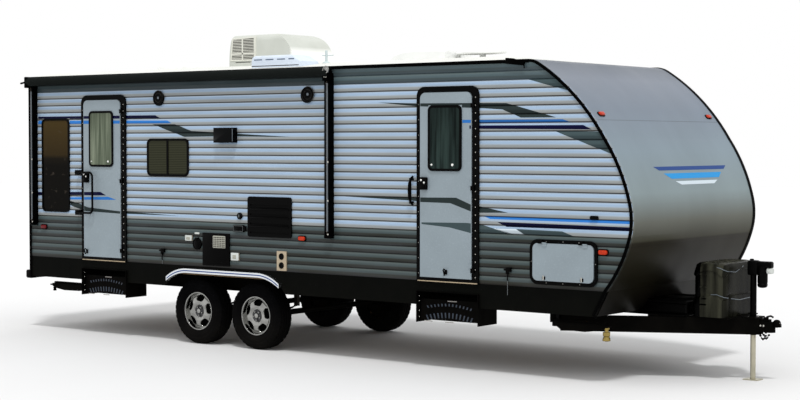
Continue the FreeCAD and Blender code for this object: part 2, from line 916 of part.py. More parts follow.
def i_rail():
    """Main rail with a web between two flanges."""
    middle = -(RAIL_SPREAD / 2)
    half = S.rail_flange / 2
    web = S.rail_sheet / 2
    top, low = FLOOR_BOTTOM, RAIL_BOTTOM
    outline = [(middle - half, low), (middle + half, low), (middle + half, low + S.rail_sheet),
               (middle + web, low + S.rail_sheet), (middle + web, top - S.rail_sheet),
               (middle + half, top - S.rail_sheet), (middle + half, top), (middle - half, top),
               (middle - half, top - S.rail_sheet), (middle - web, top - S.rail_sheet),
               (middle - web, low + S.rail_sheet), (middle - half, low + S.rail_sheet)]
    return prism("main_rail", "X", along(S.wall), S.body_length - S.nose_length * 0.8 - S.wall,
                 [(outline, {})])


def outrigger(name, station):
    """Tapered bracket from a main rail out to the wall, on both sides."""
    reach = RAIL_SPREAD / 2 + S.rail_sheet / 2
    gusset = prism(name, "X", along(station), S.outrigger_width, [(
        [(-reach, FLOOR_BOTTOM), (-INNER_HALF, FLOOR_BOTTOM),
         (-INNER_HALF, FLOOR_BOTTOM - S.outrigger_height / 3),
         (-reach, FLOOR_BOTTOM - S.outrigger_height)], {})])
    return [gusset, mirrored(f"{name}_far", gusset)]


def stabilizer_bracket(spot, station):
    """Outrigger with two ears and the pin that carries a stabilizer leg, on both sides."""
    width = S.outrigger_width
    pieces = outrigger(f"stabilizer_arm_{spot}", station - width / 2)
    half = S.stabilizer_width / 2 + S.seat_gap
    middle = -(STABILIZER_SPREAD / 2)
    low = S.stabilizer_pin_height - S.stabilizer_height / 2
    high = FLOOR_BOTTOM - S.outrigger_height / 3
    for index, y in enumerate((middle - half - S.stabilizer_ear, middle + half)):
        ear = block(f"stabilizer_ear_{spot}_{index}", (along(station) - width / 2, width),
                    (y, S.stabilizer_ear), (low, high - low))
        pieces += [ear, mirrored(f"stabilizer_ear_far_{spot}_{index}", ear)]
    pin = rod(f"stabilizer_pin_{spot}", "Y", along(station), middle - half - S.stabilizer_ear,
              S.stabilizer_pin_height, S.stabilizer_pin_radius, (half + S.stabilizer_ear) * 2)
    return pieces + [pin, mirrored(f"stabilizer_pin_far_{spot}", pin)]


CROSS_SHARES = (0.02, 0.22, 0.55, 0.75, 0.995)
OUTRIGGER_SHARES = (0.03, 0.24, 0.54, 0.76)


def chassis_frame():
    """Main rails tied by cross members, with outriggers under the walls and stabilizer brackets."""
    rail = i_rail()
    length = S.body_length - S.nose_length * 0.8 - S.wall
    reach = RAIL_SPREAD / 2
    pieces = [rail, mirrored("main_rail_far", rail)]
    for index, share in enumerate(CROSS_SHARES):
        station = S.wall + (length - S.cross_width) * share
        pieces.append(block(f"cross_member_{index}", (along(station), S.cross_width), (-reach, reach * 2),
                            (FLOOR_BOTTOM - S.cross_height - S.rail_sheet, S.cross_height)))
    for index, share in enumerate(OUTRIGGER_SHARES):
        station = S.wall + (length - S.outrigger_width) * share
        pieces += outrigger(f"outrigger_{index}", station)
    for spot, station in (("rear", S.stabilizer_rear), ("front", S.body_length - S.stabilizer_back)):
        pieces += stabilizer_bracket(spot, station)
    return node("chassis_frame", join("chassis_frame", pieces))


def tongue_rail():
    """Angled hollow rail of the A-frame on the door side."""
    start = S.body_length - S.tongue_start
    length = (S.tongue_start + S.tongue_nose) / cosine(S.tongue_angle)
    half = S.tongue_width / 2
    sheet_inset = S.tongue_sheet
    rail = prism("tongue_rail", "X", ZERO, length, [
        rectangle(-half, ZERO, half, S.tongue_height),
        rectangle(-(half - sheet_inset), sheet_inset, half - sheet_inset, S.tongue_height - sheet_inset)])
    side = (S.tongue_start + S.tongue_nose) * sine(S.tongue_angle) / cosine(S.tongue_angle)
    return place(rail, along(start), -(side + half * 0.5), TONGUE_BOTTOM, (0, 0, 1), S.tongue_angle)


def tongue_frame():
    """A-frame of two angled rails with cross pieces under the gas bottles and the jack."""
    rail = tongue_rail()
    nose = S.body_length + S.tongue_nose
    keep = block("tongue_limit", (along(S.body_length - S.tongue_start), S.tongue_start + S.tongue_nose),
                 (-HALF_WIDTH, S.body_width), (TONGUE_BOTTOM, S.tongue_height))
    near = common("tongue_rail_near", [rail, keep])
    gas = S.body_length + S.gas_ahead
    tray = block("gas_tray", (along(gas) - S.tray_length / 2, S.tray_length),
                 (-(S.tray_width / 2), S.tray_width), (RAIL_BOTTOM, S.tray_height))
    plate_length = S.jack_post_radius * 4
    plate = block("jack_plate", (along(S.body_length + S.jack_ahead) - plate_length / 2, plate_length),
                  (-(plate_length * 0.75), plate_length * 1.5), (RAIL_BOTTOM, S.tray_height))
    frame = join("tongue_welded", [near, mirrored("tongue_rail_far", near), tray, plate])
    bore = rod("jack_bore", "Z", along(S.body_length + S.jack_ahead), ZERO, TONGUE_BOTTOM - S.overrun,
               S.jack_post_radius, S.tongue_height + S.tray_height + S.overrun * 2)
    return node("tongue_frame", cut("tongue_frame", frame, bore))


def bumper():
    """Hollow square rear bumper on two stub brackets."""
    x = along(ZERO) - S.bumper_reach
    low = RAIL_BOTTOM + S.rail_height * 0.08
    sheet_inset = S.bumper_sheet
    tube = prism("bumper_tube", "Y", -(HALF_WIDTH - S.bumper_inset), S.body_width - S.bumper_inset * 2, [
        rectangle(x, low, x + S.bumper_size, low + S.bumper_size),
        rectangle(x + sheet_inset, low + sheet_inset, x + S.bumper_size - sheet_inset,
                  low + S.bumper_size - sheet_inset)])
    stub = block("bumper_stub", (x + S.bumper_size, S.bumper_reach - S.bumper_size),
                 (-(RAIL_SPREAD / 2) - S.rail_flange / 2, S.rail_flange), (low, S.bumper_size))
    return node("bumper", join("bumper", [tube, stub, mirrored("bumper_stub_far", stub)]))


def coupler():
    """Ball coupler: a channel between the rails that ends in the ball socket."""
    ball = along(S.body_length + S.ball_ahead)
    shell = S.ball_bore + S.coupler_shell
    tip = along(S.body_length + S.tongue_reach)
    low = S.coupler_bottom
    body = new_body("coupler")
    tongue_end = along(S.body_length + S.tongue_nose)
    pad(body, "coupler_neck", "Z", low, S.coupler_height, [(
        [(tongue_end, -shell), (ball, -shell), (ball + shell * 0.98, -(shell * 0.2)),
         (ball + shell * 0.98, shell * 0.2), (ball, shell), (tongue_end, shell)],
        {1: -shell * 1.05, 3: -shell * 1.05})])
    pad(body, "coupler_latch", "Z", low + S.coupler_height * 0.55, S.coupler_height * 0.3, [
        rectangle(ball, -(shell * 0.35), tip, shell * 0.35)])
    pad(body, "coupler_top", "Z", low + S.coupler_height, S.coupler_height * 0.25, [
        rectangle(tongue_end, -(shell * 0.5), ball, shell * 0.5)])
    pocket(body, "ball_socket", "Z", low - S.overrun, S.ball_depth + S.overrun, (),
           [((ball, ZERO), S.ball_bore)])
    pocket(body, "coupler_throat", "Z", low - S.overrun, S.ball_depth * 0.6 + S.overrun, [
        rectangle(tongue_end + S.coupler_shell, -(shell - S.coupler_shell), ball - shell,
                  shell - S.coupler_shell)])
    return node("coupler", body)


def jack():
    """Powered tongue jack: a fixed post with gear head and motor, and the leg that slides in it."""
    x = along(S.body_length + S.jack_ahead)
    post_height = S.jack_post_top - S.jack_post_bottom
    post = cut("jack_post", rod("jack_post_outer", "Z", x, ZERO, S.jack_post_bottom, S.jack_post_radius,
                                post_height),
               rod("jack_post_inner", "Z", x, ZERO, S.jack_post_bottom - S.overrun,
                   S.jack_leg_radius + S.running_fit, post_height))
    head = S.jack_head_width
    gear = block("jack_gear_head", (x - head * 0.4, head * 1.1), (-(head * 0.45), head * 0.9),
                 (S.jack_post_top, S.jack_top - S.jack_post_top))
    motor = rod("jack_motor", "Z", x + S.jack_motor_ahead, ZERO, S.jack_top - S.jack_motor_length -
                head * 0.2, S.jack_motor_radius, S.jack_motor_length)
    arm = block("jack_motor_arm", (x, S.jack_motor_ahead + S.jack_motor_radius * 0.5),
                (-(head * 0.3), head * 0.6), (S.jack_post_top, head * 0.5))
    node("jack_housing", join("jack_housing", [post, gear, motor, arm]))
    leg_top = S.jack_post_bottom + S.jack_overlap
    leg = rod("jack_leg_tube", "Z", x, ZERO, S.jack_foot_height, S.jack_leg_radius,
              leg_top - S.jack_foot_height)
    foot = block("jack_foot", (x - S.jack_foot_length / 2, S.jack_foot_length),
                 (-(S.jack_foot_width / 2), S.jack_foot_width), (ZERO, S.jack_foot_height))
    node("jack_leg", join("jack_leg", [leg, foot]))


def gas_pack():
    """Two gas bottles on the tongue under a moulded cover with a notch between its shoulders."""
    x = along(S.body_length + S.gas_ahead)
    base = RAIL_BOTTOM + S.tray_height
    spread = S.gas_spread / 2
    bottle = rod("gas_bottle", "Z", x, -spread, base, S.gas_bottle_radius, S.gas_bottle_height)
    node("gas_bottles", both_sides("gas_bottles", bottle))
    body = new_body("gas_cover")
    radius = S.gas_cover_radius
    inset = S.gas_cover_sheet

    def plan(size):
        return rounded(x - size, -(spread + size), x + size, spread + size, size * 0.96)

    pad(body, "gas_cover_hull", "Z", base, S.gas_cover_height, [plan(radius)])
    notch_top = base + S.gas_cover_height
    notch = [(-spread, notch_top + S.overrun), (-spread, notch_top), (ZERO, notch_top - S.gas_notch_depth),
             (spread, notch_top), (spread, notch_top + S.overrun)]
    pocket(body, "gas_cover_notch", "X", x - radius * 2, radius * 4, [(notch, {})])
    pocket(body, "gas_cover_hollow", "Z", base - S.overrun,
           S.gas_cover_height - S.gas_notch_depth - inset + S.overrun, [plan(radius - inset)])
    node("gas_cover", body)


# Running gear


def axle_stations():
    return [S.axle_station - S.axle_spacing / 2, S.axle_station + S.axle_spacing / 2]


def wheel_middle():
    """Distance of a wheel's middle plane from the centre line."""
    return HALF_WIDTH - S.tyre_inset - S.tyre_width / 2


def axles():
    """Beam axles with spindles that carry the hubs."""
    beams = []
    drum_inner = wheel_middle() - S.drum_width
    for index, station in enumerate(axle_stations()):
        tube = rod(f"axle_tube_{index}", "Y", along(station), -(drum_inner - S.moving_gap), S.tyre_radius,
                   S.axle_tube_radius, (drum_inner - S.moving_gap) * 2)
        tip = wheel_middle() + S.drum_width * 0.5
        spindle = rod(f"axle_spindle_{index}", "Y", along(station), -tip, S.tyre_radius, S.hub_bore, tip * 2)
        beams.append(join(f"axle_{index}", [tube, spindle]))
    return node("axles", group("axles", beams))


def leaf_springs():
    """Leaf packs over the axles, hung from the main rails, with an equalizer between them."""
    y = RAIL_SPREAD / 2 + S.spring_width / 2
    seat = S.tyre_radius + S.axle_tube_radius
    pieces = []
    half = S.spring_span / 2
    rise = S.spring_span * 0.09
    for index, station in enumerate(axle_stations()):
        middle = along(station)
        for leaf in range(3):
            reach = half * (1 - 0.22 * leaf)
            lift = rise * (1 - 0.22 * leaf) * (1 - 0.22 * leaf)
            low = seat + S.spring_leaf * (2 - leaf)
            radius = (reach * reach + lift * lift) / (lift * 2)
            outline = [(middle - reach, low + lift), (middle + reach, low + lift),
                       (middle + reach, low + lift + S.spring_leaf),
                       (middle - reach, low + lift + S.spring_leaf)]
            pieces.append(prism(f"leaf_{index}_{leaf}", "Y", -y, S.spring_width,
                                [(outline, {0: -radius, 2: radius})]))
    eye = seat + S.spring_leaf * 2 + rise
    hangers = []
    ends = (axle_stations()[0] - half, axle_stations()[1] + half)
    for index, station in enumerate(ends):
        hangers.append(block(f"spring_hanger_{index}", (along(station) - S.spring_width / 2, S.spring_width),
                             (-y, S.spring_width), (eye, RAIL_BOTTOM - eye)))
    hangers.append(block("equalizer_hanger", (along(S.axle_station) - S.spring_width / 2, S.spring_width),
                         (-y, S.spring_width), (eye, RAIL_BOTTOM - eye)))
    hangers.append(block("equalizer", (along(S.axle_station) - (S.axle_spacing / 2 - half),
                                       (S.axle_spacing / 2 - half) * 2),
                         (-y, S.spring_width), (eye - S.spring_leaf, S.spring_leaf * 3)))
    pack = join("spring_set", pieces + hangers)
    return node("leaf_springs", both_sides("leaf_springs", pack))


def revolved(name, points, arcs=None):
    """Body turned about the Y axis from an outline of radius and place along the axis."""
    body = new_body(name)
    sketch = new_sketch(body, f"{name}_sketch", "X")
    draw(sketch, [(across, radius) for radius, across in points], arcs or {})
    turned = body.newObject("PartDesign::Revolution", f"{name}_turned")
    turned.Profile = sketch
    turned.ReferenceAxis = (body_origin(body, "Y_Axis"), [""])
    turned.Angle = 360
    body.Tip = turned
    return body


def tyre_shape(name):
    """Tyre about its own centre, outer side towards -Y."""
    half = S.tyre_width / 2
    tread = S.tyre_width * 0.38
    bulge = S.tyre_radius * 0.84
    bead = S.tyre_width * 0.37
    points = [(S.bead_radius, -bead), (bulge, -half), (S.tyre_radius, -tread), (S.tyre_radius, tread),
              (bulge, half), (S.bead_radius, bead)]
    return revolved(name, points)


def wheel_shape(name):
    """Steel wheel with five windows and its brake drum, outer side towards -Y."""
    bead = S.tyre_width * 0.37
    sheet_inset = S.rim_sheet
    dish = -(bead - S.rim_dish)
    back = S.drum_width
    bore = S.hub_bore + S.running_fit
    lip = -(bead + sheet_inset * 1.5)
    points = [(bore, back), (S.drum_radius, back), (S.drum_radius, dish + sheet_inset * 2),
              (S.bead_radius - sheet_inset, dish + sheet_inset * 2), (S.bead_radius - sheet_inset, bead),
              (S.bead_radius, bead), (S.bead_radius, -bead), (S.flange_radius, lip),
              (S.bead_radius - sheet_inset * 2, -bead), (S.drum_radius, dish),
              (S.hub_radius * 0.7, dish - S.rim_dish), (bore, dish - S.rim_dish)]
    body = revolved(name, points)
    inner = S.hub_radius * 1.2
    outer = S.bead_radius - sheet_inset * 2
    window = [(-(inner * 0.34), inner), (inner * 0.34, inner), (outer * 0.33, outer * 0.84),
              (-(outer * 0.33), outer * 0.84)]
    opening = pocket(body, f"{name}_window", "Y", dish - S.rim_dish, S.rim_dish + sheet_inset * 1.5,
                     [(window, {2: -outer * 0.5})])
    ring = body.newObject("PartDesign::PolarPattern", f"{name}_windows")
    ring.Originals = [opening]
    ring.Axis = (body_origin(body, "Y_Axis"), [""])
    ring.Angle = 360
    ring.Occurrences = WHEEL_WINDOWS
    body.Tip = ring
    return body


WHEEL_PLACES = (("rear_near", 0, DOOR_SIDE), ("front_near", 1, DOOR_SIDE),
                ("rear_far", 0, OFF_SIDE), ("front_far", 1, OFF_SIDE))


def wheels():
    for spot, axle, side in WHEEL_PLACES:
        station = axle_stations()[axle]
        for kind, shape in (("tyre", tyre_shape), ("wheel", wheel_shape)):
            name = f"{kind}_{spot}"
            item = shape(name)
            place(item, along(station), wheel_middle() * side, S.tyre_radius, (0, 0, 1),
                  180 if side == OFF_SIDE else 0)
            node(name, item)


# Doors


ENTRY_HINGE_SHARES = (0.06, 0.5, 0.94)
BAGGAGE_HINGE_SHARES = (0.2, 0.8)


def entry_knuckles(name, station, half):
    """Hinge halves of an entry door: half 0 sits on the frame, half 1 on the leaf."""
    x, y = entry_hinge(station)
    low = S.door_bottom + S.leaf_inset_bottom
    height = S.door_top - S.leaf_inset_top - low
    length = S.hinge_height / 2 - S.seat_gap
    seat = -(HALF_WIDTH + S.door_frame_depth) if half == 0 else leaf_face()
    pieces = []
    for index, share in enumerate(ENTRY_HINGE_SHARES):
        z = low + height * share + (S.hinge_height / 2) * (half - 1)
        pieces.append(rod(f"{name}_knuckle_{index}", "Z", x, y, z, S.hinge_radius, length))
        plate_x = x if half == 0 else x - S.hinge_plate
        pieces.append(block(f"{name}_hinge_plate_{index}", (plate_x, S.hinge_plate), (y, seat - y),
                            (z, length)))
    return pieces


def baggage_knuckles(name, half):
    """Hinge halves of a baggage door: half 0 sits on the frame, half 1 on the leaf."""
    y, z = baggage_hinge()
    length = S.hinge_height / 2 - S.seat_gap
    seat = -(HALF_WIDTH + S.door_frame_depth) if half == 0 else leaf_face()
    rim = S.baggage_rim - S.moving_gap / 2
    pieces = []
    for index, share in enumerate(BAGGAGE_HINGE_SHARES):
        x = along(BAGGAGE_STATION + S.baggage_width * share) + (S.hinge_height / 2) * (half - 1)
        pieces.append(rod(f"{name}_knuckle_{index}", "X", x, y, z, S.hinge_radius, length))
        plate_z = z if half == 0 else z - S.hinge_plate
        height = rim if half == 0 else S.hinge_plate
        pieces.append(block(f"{name}_hinge_plate_{index}", (x, length), (y, seat - y), (plate_z, height)))
    return pieces


def door_frames():
    """Frames of both entry doors and both baggage doors, seated on the siding."""
    pieces = []
    for name, station in (("rear", S.rear_door), ("front", FRONT_DOOR)):
        body = new_body(f"{name}_door_frame")
        pad(body, f"{name}_door_flange", "Y", -(HALF_WIDTH + S.door_frame_depth), S.door_frame_depth,
            [entry_frame(station), entry_hole(station, S.moving_gap)])
        pieces.append(join(f"{name}_door_frame_hinged", [body] + entry_knuckles(f"{name}_frame", station, 0)))
    for name, side in (("near", DOOR_SIDE), ("far", OFF_SIDE)):
        ring = prism(f"baggage_frame_{name}", "Y", -(HALF_WIDTH + S.door_frame_depth), S.door_frame_depth,
                     [baggage_edge(ZERO), baggage_edge(S.baggage_rim - S.moving_gap)])
        frame = join(f"baggage_frame_{name}_hinged", [ring] + baggage_knuckles(f"baggage_frame_{name}", 0))
        pieces.append(on_side(f"baggage_frame_{name}_side", frame, side))
    return node("door_frames", group("door_frames", pieces))


def door_window(station, inset):
    left = station + S.leaf_inset_latch + S.door_window_inset
    return rounded(along(left) + inset, S.door_window_bottom + inset,
                   along(left + S.door_window_width) - inset,
                   S.door_window_bottom + S.door_window_height - inset, S.door_window_corner - inset * 0.9)


def leaf_face():
    """Y of the outer face of a door leaf on the door side."""
    return -(HALF_WIDTH + S.door_frame_depth + S.leaf_proud)


def entry_door(name, station):
    """Entry door: leaf as thick as the wall, window frame with latch, and glass."""
    face = leaf_face()
    openings = [entry_hole(station), door_window(station, S.window_rim)]
    panel = prism(f"{name}_panel", "Y", face, S.wall, openings)
    node(f"{name}_leaf", join(f"{name}_leaf", [panel] + entry_knuckles(name, station, 1)))
    trim = prism(f"{name}_window_frame", "Y", face - S.window_depth, S.window_depth,
                 [door_window(station, ZERO), door_window(station, S.window_rim)])
    latch = block(f"{name}_latch", (along(station + S.leaf_inset_latch) + S.window_rim * 0.6, S.latch_width),
                  (face - S.latch_depth, S.latch_depth), (S.latch_bottom, S.latch_height))
    extra = [folded_handle(face)] if name == "rear_door" else []
    node(f"{name}_trim", group(f"{name}_trim", [trim, latch] + extra))
    pane = prism(f"{name}_glass", "Y", face - S.window_depth + S.glass * 0.4, S.glass,
                 [door_window(station, S.window_rim)])
    node(f"{name}_glass", pane)


def bend(name, x, y, z, rod_radius, sweep):
    """Quarter bend of a round bar in a plane across Y, about a centre; sweep turns it about Y."""
    elbow = doc.addObject("Part::Torus", name)
    bind(elbow, Radius1=S.loop_bend, Radius2=rod_radius)
    elbow.Angle3 = 90
    turn = FreeCAD.Rotation(FreeCAD.Vector(0, 1, 0), sweep).multiply(
        FreeCAD.Rotation(FreeCAD.Vector(1, 0, 0), 90))
    elbow.Placement = FreeCAD.Placement(FreeCAD.Vector(), turn)
    bind(elbow, Placement__Base__x=x, Placement__Base__y=y, Placement__Base__z=z)
    return elbow


def folded_handle(face):
    """Long bent grab handle folded across the rear door, locked to its leaf by two lugs."""
    out = -(HALF_WIDTH + S.loop_out)
    low_x = along(S.rear_door) - S.loop_overhang
    high_x = low_x + S.loop_reach
    high_z = S.loop_bottom + S.loop_height
    rod_radius = S.handle_rod
    turn = S.loop_bend
    pieces = [rod("loop_bar", "Z", high_x, out, S.loop_bottom + turn, rod_radius, S.loop_height - turn * 2)]
    lug_x = along(S.rear_door + S.leaf_inset_latch) + S.latch_width * 1.4
    for index, (z, centre, sweep) in enumerate(((S.loop_bottom, S.loop_bottom + turn, 90),
                                                (high_z, high_z - turn, 0))):
        pieces.append(rod(f"loop_arm_{index}", "X", low_x, out, z, rod_radius, S.loop_reach - turn))
        pieces.append(rod(f"loop_lug_{index}", "Y", lug_x, out, z, rod_radius, face - out))
        pieces.append(bend(f"loop_bend_{index}", high_x - turn, out, centre, rod_radius, sweep))
    return join("folded_handle", pieces)


def baggage_door(name, side):
    panel = prism(f"{name}_panel", "Y", leaf_face(), S.wall, [baggage_edge(S.baggage_rim)])
    leaf = join(f"{name}_leaf", [panel] + baggage_knuckles(name, 1))
    return node(name, on_side(f"{name}_side", leaf, side))


# Windows


def window_pair(name, window, side):
    """Frame seated on the siding, with a mullion where the window slides, and the pane inside it."""
    station, width, bottom, height = window
    frame = prism(f"{name}_frame", "Y", -(HALF_WIDTH + S.window_depth), S.window_depth,
                  [window_edge(*window), window_edge(*window, S.window_rim)])
    if width is not S.exit_window_width:
        bar = block(f"{name}_mullion", (along(station + width / 2) - S.mullion / 2, S.mullion),
                    (-(HALF_WIDTH + S.window_depth), S.window_depth - S.glass),
                    (bottom + S.window_rim * 0.5, height - S.window_rim))
        frame = join(f"{name}_framed", [frame, bar])
    pane = prism(f"{name}_pane", "Y", -(HALF_WIDTH + S.glass), S.glass, [window_edge(*window, S.window_rim)])
    return on_side(f"{name}_frame_side", frame, side), on_side(f"{name}_pane_side", pane, side)


def windows():
    frames, panes = [], []
    walls = ((DOOR_SIDE, "near", DOOR_SIDE_WINDOWS), (OFF_SIDE, "far", OFF_SIDE_WINDOWS))
    for side, word, wall_windows in walls:
        for index, window in enumerate(wall_windows):
            frame, pane = window_pair(f"window_{word}_{index}", window, side)
            frames.append(frame)
            panes.append(pane)
    node("window_frames", group("window_frames", frames))
    node("window_glass", group("window_glass", panes))


# Steps


def step_wells():
    """Side plates and top of the two step wells under the entry doors."""
    wells = []
    outer = -(HALF_WIDTH + S.wall * 0.6)
    for name, door in (("rear", S.rear_door), ("front", FRONT_DOOR)):
        height = FLOOR_BOTTOM - S.step_bottom
        low = (S.step_bottom, height)
        side = block(f"{name}_step_side", (along(door), S.step_sheet), (outer, S.step_depth), low)
        far = block(f"{name}_step_far_side", (along(door + S.door_width) - S.step_sheet, S.step_sheet),
                    (outer, S.step_depth), low)
        top = block(f"{name}_step_top", (along(door), S.door_width), (outer, S.step_depth),
                    (FLOOR_BOTTOM - S.step_sheet, S.step_sheet))
        back = block(f"{name}_step_back", (along(door), S.door_width),
                     (outer + S.step_depth - S.step_sheet, S.step_sheet), low)
        wells.append(join(f"{name}_step_well", [side, far, top, back]))
    return node("step_wells", group("step_wells", wells))


def step_pivots():
    """Y and Z of a step's upper pivot on the well, and of the lower pivot between its treads."""
    upper_y, upper_z = -(HALF_WIDTH - S.step_pivot_inset), S.step_pivot_height
    tread_low = upper_z - S.step_pivot_inset - S.tread_depth
    return upper_y, upper_z, upper_y + S.step_rise, tread_low - S.tread_lip * 0.75


def upper_tread(name, door):
    """Upper tread, stowed upright at the back of the well, with an arm to each pivot."""
    upper_y, upper_z, lower_y, lower_z = step_pivots()
    inset = S.step_sheet + S.tread_side_gap
    low_x, width = along(door) + inset, S.door_width - inset * 2
    top = upper_z - S.step_pivot_inset
    pieces = [block(f"{name}_upper_plate", (low_x, width), (lower_y, S.tread_sheet),
                    (top - S.tread_depth, S.tread_depth))]
    half = S.tread_lip / 2
    back = lower_y + S.tread_sheet
    side = [(upper_y - half, upper_z + half), (upper_y - half, upper_z - half),
            (lower_y - half, upper_z - S.tread_depth * 0.5), (lower_y - half, lower_z - half),
            (back + half, lower_z - half), (back + half, top), (upper_y + half, upper_z + half)]
    pin = S.tread_side_gap - S.seat_gap
    for index, x in enumerate((low_x, low_x + width - S.tread_arm)):
        pieces.append(prism(f"{name}_upper_arm_{index}", "X", x, S.tread_arm, [(side, {})]))
    for index, x in enumerate((low_x - pin, low_x + width)):
        pieces.append(rod(f"{name}_upper_pin_{index}", "X", x, upper_y, upper_z, half / 2, pin))
    return node(f"{name}_upper_tread", join(f"{name}_upper_tread", pieces))


def lower_tread(name, door):
    """Lower tread, stowed upright in front of the upper one, hinged below it."""
    upper_y, upper_z, lower_y, lower_z = step_pivots()
    inset = S.step_sheet + S.tread_side_gap * 2 + S.tread_arm
    low_x, width = along(door) + inset, S.door_width - inset * 2
    half = S.tread_lip / 2
    low = lower_z + half - S.tread_sheet
    pieces = [block(f"{name}_lower_plate", (low_x, width), (upper_y, S.tread_sheet), (low, S.tread_depth))]
    pin = S.tread_side_gap - S.seat_gap
    for index, x in enumerate((low_x, low_x + width - S.tread_arm)):
        pieces.append(block(f"{name}_lower_arm_{index}", (x, S.tread_arm),
                            (upper_y, lower_y - upper_y + half), (lower_z - half, S.tread_lip)))
    for index, x in enumerate((low_x - pin, low_x + width)):
        pieces.append(rod(f"{name}_lower_pin_{index}", "X", x, lower_y, lower_z, half / 2, pin))
    return node(f"{name}_lower_tread", join(f"{name}_lower_tread", pieces))


def steps(name, door):
    """Folding step of two treads, as stowed."""
    upper_tread(name, door)
    lower_tread(name, door)


# Stabilizers

STABILIZER_FRONT = S.body_length - S.stabilizer_back
STABILIZERS = (("rear_near", S.stabilizer_rear, -1, DOOR_SIDE), ("rear_far", S.stabilizer_rear, -1, OFF_SIDE),
               ("front_near", STABILIZER_FRONT, 1, DOOR_SIDE), ("front_far", STABILIZER_FRONT, 1, OFF_SIDE))


def stabilizer_leg(name, station, way, side):
    """Swing-down stabilizer leg stowed flat under the chassis, its foot towards the near end."""
    pin_x = along(station)
    half = S.stabilizer_width / 2
    y = -(STABILIZER_SPREAD / 2)
    thickness = S.stabilizer_height
    pin_z = S.stabilizer_pin_height
    far_x = pin_x + S.stabilizer_length * way
    low_x = pin_x - thickness / 2 if way > 0 else far_x
    leg = block(f"{name}_bar", (low_x, S.stabilizer_length + thickness / 2), (y - half, S.stabilizer_width),
                (pin_z - thickness / 2, thickness))
    foot = block(f"{name}_foot", (far_x - S.stabilizer_foot / 2, S.stabilizer_foot),
                 (y - half * 2, S.stabilizer_width * 2), (pin_z - thickness, thickness / 2))
    bore = rod(f"{name}_bore", "Y", pin_x, y - half * 2, pin_z, S.stabilizer_pin_radius + S.running_fit,
               S.stabilizer_width * 2)
    item = cut(f"{name}_leg", join(f"{name}_welded", [leg, foot]), bore)
    return node(name, on_side(f"{name}_side", item, side))


def stabilizers():
    for spot, station, way, side in STABILIZERS:
        stabilizer_leg(f"stabilizer_leg_{spot}", station, way, side)


# Awning


def awning():
    """Awning stowed on the door side: two arms on the wall and the cloth rolled on its tube."""
    arms = []
    rear = S.awning_rear
    vent_end = S.fridge_vent_station + S.fridge_vent_width
    front = vent_end + (FRONT_DOOR - vent_end) * AWNING_FRONT_SHARE
    for index, station in enumerate((rear, front)):
        arms.append(block(f"awning_arm_{index}", (along(station), S.awning_arm_width),
                          (-(HALF_WIDTH + S.awning_arm_depth), S.awning_arm_depth),
                          (S.awning_arm_bottom, S.awning_height - S.awning_radius - S.awning_arm_bottom)))
    node("awning_arms", group("awning_arms", arms))
    length = front - rear + S.awning_arm_width
    roll = rod("awning_roller", "X", along(rear), -(HALF_WIDTH + S.awning_out), S.awning_height,
               S.awning_radius, length)
    node("awning_roller", roll)


# Wall fittings


def plate(name, station, width, bottom, height, depth, corner=None):
    """Flat fitting seated on the door side's siding."""
    edge = (rounded(along(station), bottom, along(station + width), bottom + height, corner) if corner
            else rectangle(along(station), bottom, along(station + width), bottom + height))
    return prism(name, "Y", -(HALF_WIDTH + depth), depth, [edge])


def service_vents():
    """Refrigerator vent with louvres, and the water heater's hatch."""
    body = new_body("fridge_vent")
    low = -(HALF_WIDTH + S.vent_depth)
    pad(body, "fridge_vent_plate", "Y", low, S.vent_depth, [
        rounded(along(S.fridge_vent_station), S.fridge_vent_bottom,
                along(S.fridge_vent_station + S.fridge_vent_width),
                S.fridge_vent_bottom + S.fridge_vent_height, S.fridge_vent_corner)])
    pitch = S.fridge_vent_height / (SIZES["louvre_count"] + 0.4)
    inset = S.fridge_vent_corner * 1.2
    slot = pocket(body, "fridge_vent_slot", "Y", low, S.vent_depth * 0.6, [
        rectangle(along(S.fridge_vent_station) + inset, S.fridge_vent_bottom + pitch * 0.4,
                  along(S.fridge_vent_station + S.fridge_vent_width) - inset,
                  S.fridge_vent_bottom + pitch * 0.55)])
    repeat(body, "fridge_vent_slots", slot, "Z", pitch, SIZES["louvre_count"])
    heater = plate("heater_hatch", S.heater_station, S.heater_width, S.heater_bottom, S.heater_height,
                   S.vent_depth)
    return node("service_vents", group("service_vents", [body, heater]))


def service_inlets():
    """Light inlets: cable hatch, water inlet and the furnace's twin port plate."""
    furnace = prism("furnace_vent", "Y", -(HALF_WIDTH + S.vent_depth), S.vent_depth,
                    [rectangle(along(S.furnace_station), S.furnace_bottom,
                               along(S.furnace_station + S.furnace_width),
                               S.furnace_bottom + S.furnace_height)],
                    [((along(S.furnace_station + S.furnace_width / 2),
                       S.furnace_bottom + S.furnace_height * share), S.furnace_port)
                     for share in (0.27, 0.73)])
    cable = plate("cable_inlet", S.inlet_station, S.inlet_width, S.inlet_bottom, S.inlet_height,
                  S.vent_depth)
    water = plate("water_inlet", S.water_station, S.water_width, S.water_bottom, S.water_height, S.vent_depth)
    return node("service_inlets", group("service_inlets", [furnace, cable, water]))


def grab_handle():
    """Fixed grab handle beside the front door."""
    out = -(HALF_WIDTH + S.handle_out)
    x = along(FRONT_DOOR - S.handle_gap)
    reach = S.handle_out - S.handle_rod
    bar = rod("handle_bar", "Z", x, out + S.handle_rod, S.handle_bottom, S.handle_rod, S.handle_height)
    low = S.handle_bottom + S.handle_rod
    rise = S.handle_height - S.handle_rod * 2
    legs = [rod(f"handle_leg_{index}", "Y", x, out + S.handle_rod, low + rise * index, S.handle_rod, reach)
            for index in range(2)]
    return join("grab_handle", [bar] + legs)


